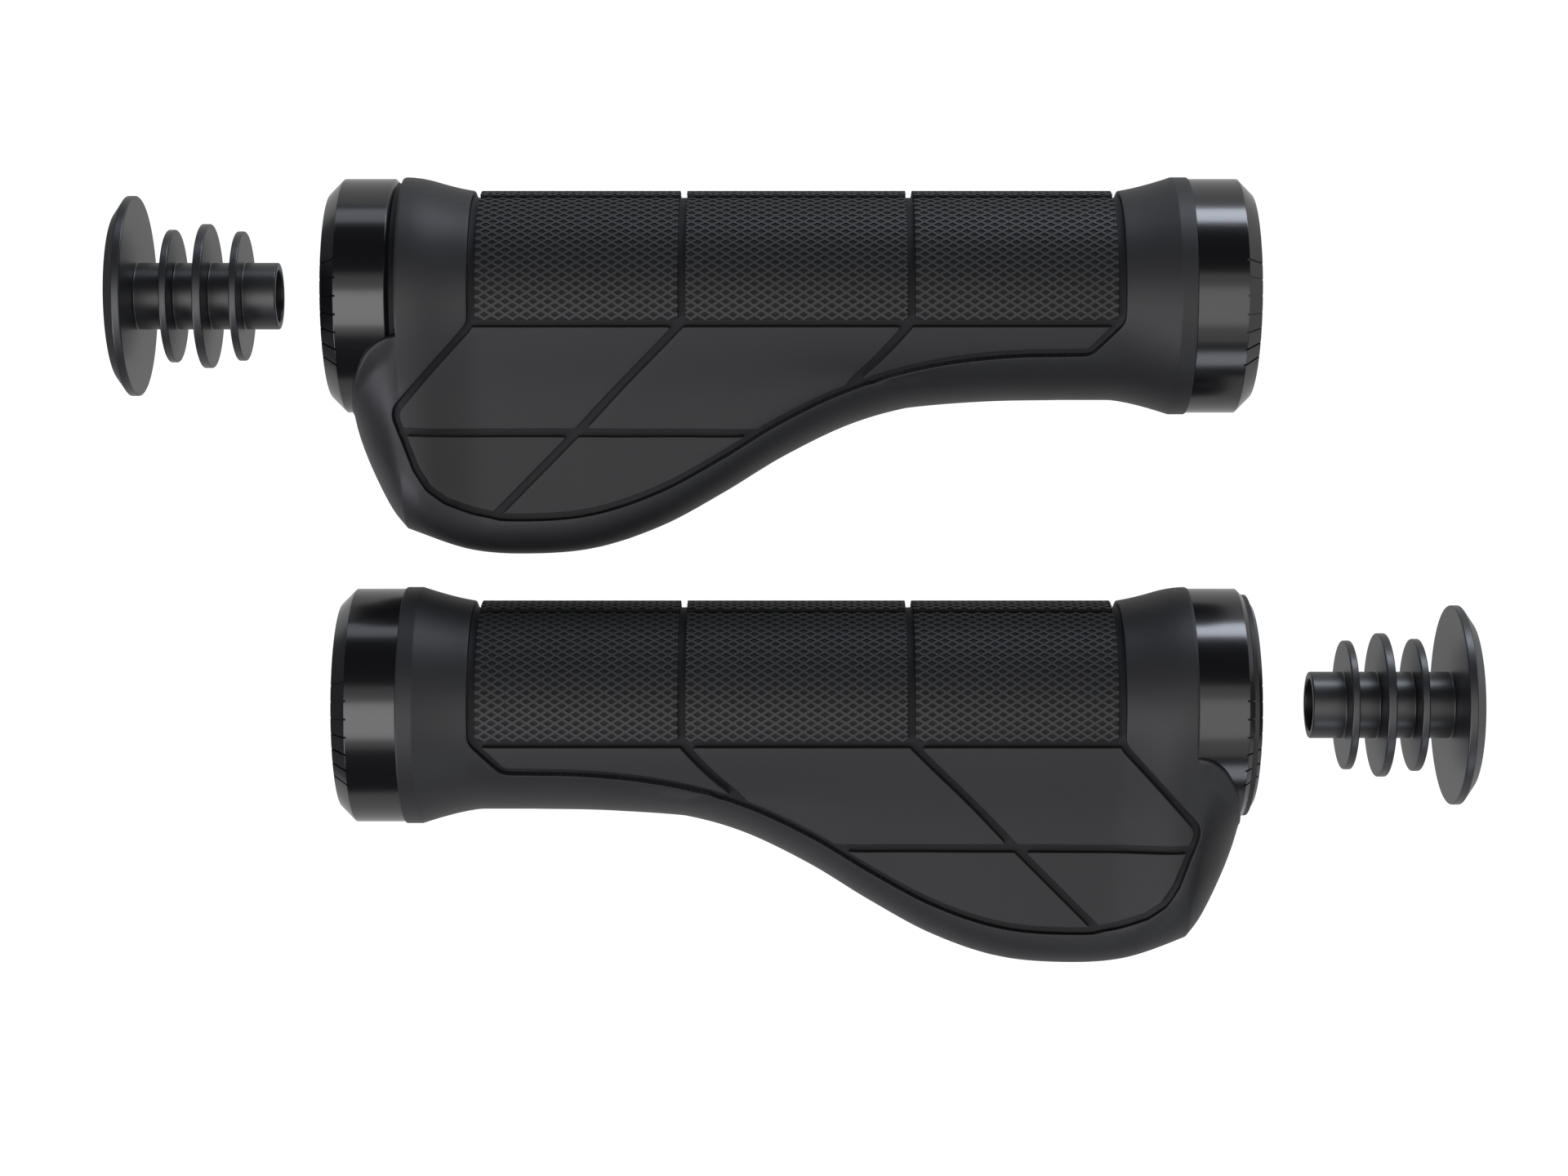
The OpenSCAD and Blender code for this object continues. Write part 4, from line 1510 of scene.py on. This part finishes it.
@dataclass
class Place:
    """Where a grip lies, in millimetres, and which hand it is for."""

    side: Side
    axis_y: float
    axis_z: float

    def put(self, mesh: Mesh, name: str, body: str, slot: str, node: str,
            materials: Sequence[bpy.types.Material], sharp: float = 40.0) -> bpy.types.Object:
        """Makes a piece of a mesh, in the frame's metres.

        Args:
            mesh: The piece in the grip's own millimetres.
            name: The piece's name.
            body: The body that it rides on.
            slot: Its material slot in the record. It is not used.
            node: The CAD node that it stands for.
            materials: Its materials, in the order of the mesh's material numbers.
            sharp: Edges that turn by more than this angle are drawn sharp.

        Returns:
            The finished piece.
        """
        if self.side is Side.LEFT:
            mesh = mesh.mirrored()
        points = (mesh.points + (0, self.axis_y, self.axis_z)) * MM
        thing = blender_object(Mesh(points, mesh.faces, mesh.slots), name)
        for material in materials:
            thing.data.materials.append(material)
        form = bmesh.new()
        form.from_mesh(thing.data)
        for face in form.faces:
            face.smooth = True
        for edge in form.edges:
            edge.smooth = edge.is_manifold and edge.calc_face_angle(0.0) < math.radians(sharp)
        form.to_mesh(thing.data)
        form.free()
        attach(thing, body)
        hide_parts(node)
        LOG.info("%s: %d faces on %s", name, len(mesh.faces), body)
        return thing


def record_mount(name: str) -> dict:
    """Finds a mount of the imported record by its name."""
    return next(mount for mount in frame["record"]["mounts"] if mount["name"] == name)


@dataclass
class GripSet:
    """The two grips with their clamps, bolts and plugs."""

    wardrobe: Wardrobe
    layout: PadLayout = field(default_factory=PadLayout)
    knurl: Knurl = field(default_factory=Knurl)

    def build(self) -> None:
        """Builds every piece of both grips."""
        places = {side: self.place(side) for side in Side}
        right = places[Side.RIGHT]
        low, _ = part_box("right_rubber_shell")
        form = GripForm(reach_most=right.axis_y - low.y / MM)
        sheet = Sheet(form)
        self.frames(places, form, sheet)
        self.pads(places, form, sheet)
        self.clamps(places, form)
        self.plugs(places)
        self.sleeves()

    def place(self, side: Side) -> Place:
        """Reads where a grip lies from its bore."""
        _, y, z = record_mount(f"{side.word}_bar_bore")["pos_m"]
        return Place(side, y / MM, z / MM)

    def frames(self, places: dict[Side, Place], form: GripForm, sheet: Sheet) -> None:
        """Builds the rubber frames."""
        mesh = Shell(form, sheet, self.layout, Lip()).mesh()
        for side, place in places.items():
            name = f"{side.word}_rubber_shell"
            place.put(mesh, f"{name}_moulding", f"{side.word}_grip", "shell_rubber", name,
                      [self.wardrobe.of(FRAME_RUBBER), self.wardrobe.of(RECESS_PAINTED_SHADE_RUBBER)], sharp=32.0)

    def pads(self, places: dict[Side, Place], form: GripForm, sheet: Sheet) -> None:
        """Builds the knurled and the smooth pads."""
        layout, tree = self.layout, knurl_tree()
        # The pad bodies take the darker painted shade between the ridges, the ridges the lighter copy of the
        # same rubber.
        knurled = [self.wardrobe.of(KNURL_FLOOR_PAINTED_SHADE), self.wardrobe.of(KNURL_RIDGE)]
        half = layout.groove / 2
        columns = {"outer": (layout.column_line + half, layout.column_edge - layout.groove),
                   "middle": (-layout.column_line + half, layout.column_line - half),
                   "inner": (-layout.column_edge + layout.groove, -layout.column_line - half)}
        made: dict[str, tuple[Mesh, str, list[bpy.types.Material]]] = {}
        for row, span in (("top_pad", layout.top_span), ("front_pad", layout.front_span)):
            for place, ends in columns.items():
                corner_t = sheet.across(np.zeros(2), np.array(span))
                outline = rounded([(ends[0], corner_t[0]), (ends[1], corner_t[0]), (ends[1], corner_t[1]),
                                   (ends[0], corner_t[1])], layout.pad_round, 4, 0.0)
                body = Pad(outline).mesh(form, sheet, layout.edge_round)
                body = body.joined(self.knurl.ridges(tree, form, ends, span, knurled[1]))
                made[f"{row}_{place}"] = (body, "knurled_pad", knurled)
        for name, plan in layout.palm_pads(form).items():
            outline = sheet.from_above(rounded([tuple(p) for p in plan], layout.pad_round, 4, 0.0))
            made[name] = (Pad(outline).mesh(form, sheet, layout.edge_round), "smooth_pad",
                          [self.wardrobe.of(PAD_RUBBER)])
        for side, place in places.items():
            for name, (mesh, slot, materials) in made.items():
                node = f"{side.word}_{name}"
                place.put(mesh, f"{node}_soft", f"{side.word}_grip", slot, node, materials, sharp=50.0)

    def clamps(self, places: dict[Side, Place], form: GripForm) -> None:
        """Builds the clamp rings and their bolts."""
        bore = record_mount("right_bar_bore")["dims"]["r_mm"]
        _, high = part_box("right_outer_clamp")
        ring = ClampRing(bore, form.shell_end, high.x / MM)
        ring_mesh, bolt_mesh = ring.mesh(), upright(Bolt().mesh(), ring.bolt_u, -ring.bolt_drop)
        for side, place in places.items():
            for end in End:
                node = f"{side.word}_{end.word}_clamp"
                shift = self.stand_off(node, ring.outer_end)
                meshes = [part.moved(shift) for part in (ring_mesh, bolt_mesh)]
                if end is End.INNER:
                    meshes = [part.mirrored() for part in meshes]
                place.put(meshes[0], f"{node}_ring", f"{node}_ring", "clamp_ring", node,
                          [self.wardrobe.of(ANODISED), self.wardrobe.of(SPIGOT)], sharp=24.0)
                place.put(meshes[1], f"{node}_bolt_steel", f"{side.word}_{end.word}_bolt", "bolt",
                          f"{node}_bolt", [self.wardrobe.of(OXIDE)], sharp=28.0)

    def stand_off(self, node: str, outer_end: float) -> float:
        """How far a clamp stands off its seat, in millimetres."""
        low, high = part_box(node)
        return max(abs(low.x), abs(high.x)) / MM - outer_end

    def plugs(self, places: dict[Side, Place]) -> None:
        """Builds the end plugs."""
        plug = EndPlug()
        mesh = plug.mesh()
        for side, place in places.items():
            low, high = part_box(f"{side.word}_end_plug")
            out = max(abs(low.x), abs(high.x)) / MM - plug.cap_t
            place.put(mesh.moved(out), f"{side.word}_end_plug_moulding", f"{side.word}_plug", "plug",
                      f"{side.word}_end_plug", [self.wardrobe.of(MOULDED)], sharp=30.0)

    def sleeves(self) -> None:
        """Dresses the sleeves, whose CAD shape is right as it is."""
        for side in Side:
            data = frame["nodes"][f"{side.word}_core_sleeve"].data
            data.materials.clear()
            data.materials.append(self.wardrobe.of(NYLON))


# ---------------------------------------------------------------- studio


@dataclass(frozen=True)
class SoftLight:
    """A soft area light. Places and sizes in metres."""

    name: str
    place: tuple[float, float, float]
    size: tuple[float, float]
    radiance: float
    colour: Colour = (1.0, 1.0, 1.0)
    aim: tuple[float, float, float] | None = (0.0, 0.0, 0.0175)

    def build(self) -> None:
        """Adds the light, facing its aim, or straight down where it has none."""
        data = bpy.data.lights.new(self.name, "AREA")
        data.shape = "RECTANGLE"
        data.size, data.size_y = self.size
        data.energy = self.radiance * math.pi * self.size[0] * self.size[1]
        data.color = self.colour
        lamp = bpy.data.objects.new(self.name, data)
        lamp.location = self.place
        if self.aim:
            back = (Vector(self.place) - Vector(self.aim)).normalized()
            lamp.rotation_euler = back.to_track_quat("Z", "Y").to_euler()
        bpy.context.scene.collection.objects.link(lamp)


@dataclass(frozen=True)
class Studio:
    """The pale floor, the lights and the camera. Lengths in metres."""

    lights: tuple[SoftLight, ...] = (
        SoftLight("overhead_left", (-0.36, -0.27, 0.94), (0.72, 1.15), 0.8, aim=None),
        SoftLight("overhead_left_core", (-0.36, -0.27, 0.92), (0.72, 0.62), 2.7, aim=None),
        SoftLight("overhead_right", (0.36, -0.4, 0.94), (0.72, 1.45), 0.9, aim=None),
        SoftLight("overhead_right_core", (0.36, -0.24, 0.92), (0.72, 0.66), 1.2, aim=None),
        SoftLight("front_right_strip", (0.36, 0.9, 0.18), (0.6, 0.29), 10.0, (0.82, 0.88, 1.0)),
        SoftLight("front_left_strip", (-0.3, 0.9, 0.18), (0.66, 0.29), 2.0, (0.82, 0.87, 1.0)),
        SoftLight("rear_right_strip", (0.32, -0.81, 0.36), (0.5, 0.26), 3.2, (0.85, 0.9, 1.0)),
        SoftLight("rear_left_box", (-0.6, -0.5, 0.45), (0.4, 0.4), 10.0, (0.9, 0.9, 1.0)),
        SoftLight("right_panel", (1.0, 0.0, 0.13), (0.8, 0.24), 1.3),
    )
    world: Colour = (0.03, 0.031, 0.035)
    floor_base: float = 0.12
    floor_seen: float = 1.0
    floor_glow: float = 0.52
    floor_fade: tuple[float, float] = (-0.125, -0.1)
    floor_size: float = 6.0
    floor_gap: float = 0.0004
    camera_place: tuple[float, float, float] = (-0.00237, -0.004665, 0.50495)
    lens: float = 74.33
    shift: tuple[float, float] = (0.0023, 0.0086)

    def build(self) -> None:
        """Builds the studio."""
        scene = bpy.context.scene
        scene.view_settings.view_transform = "Standard"
        world = bpy.data.worlds.new("studio")
        world.use_nodes = True
        world.node_tree.nodes["Background"].inputs["Color"].default_value = (*self.world, 1)
        scene.world = world
        self.floor()
        for light in self.lights:
            light.build()
        data = bpy.data.cameras.new("camera")
        data.lens, data.sensor_width = self.lens, 36.0
        data.shift_x, data.shift_y = self.shift
        data.clip_start, data.clip_end = 0.01, 20.0
        camera = bpy.data.objects.new("camera", data)
        camera.location = self.camera_place
        scene.collection.objects.link(camera)
        scene.camera = camera

    def floor(self) -> None:
        """Adds the pale floor just under the object. It glows less in reflections than in plain view."""
        half = self.floor_size / 2
        slab = blender_object(block((-half, -half, -0.02), (half, half, -self.floor_gap)), "floor")
        material = bpy.data.materials.new("pale_floor")
        material.use_nodes = True
        tree = material.node_tree
        shader = tree.nodes["Principled BSDF"]
        shader.inputs["Base Color"].default_value = (*[self.floor_base] * 3, 1)
        shader.inputs["Roughness"].default_value = 0.9
        shader.inputs["Specular IOR Level"].default_value = 0.1
        shader.inputs["Emission Color"].default_value = (1, 1, 1, 1)
        place, along = node_of(tree, "ShaderNodeTexCoord"), node_of(tree, "ShaderNodeSeparateXYZ")
        tree.links.new(place.outputs["Object"], along.inputs[0])
        fade = node_of(tree, "ShaderNodeMapRange", interpolation_type="SMOOTHSTEP")
        tree.links.new(along.outputs["X"], fade.inputs["Value"])
        fade.inputs["From Min"].default_value, fade.inputs["From Max"].default_value = self.floor_fade
        fade.inputs["To Max"].default_value = self.floor_glow
        seen, glow = node_of(tree, "ShaderNodeLightPath"), node_of(tree, "ShaderNodeMix")
        tree.links.new(seen.outputs["Is Camera Ray"], glow.inputs[0])
        tree.links.new(fade.outputs["Result"], glow.inputs[2])
        glow.inputs[3].default_value = self.floor_seen
        tree.links.new(glow.outputs[0], shader.inputs["Emission Strength"])
        slab.data.materials.append(material)


def main() -> None:
    """Builds the grips and the studio."""
    logging.basicConfig(level=logging.INFO, format="%(name)s: %(message)s")
    GripSet(Wardrobe()).build()
    Studio().build()


if __name__ == "__main__":
    main()
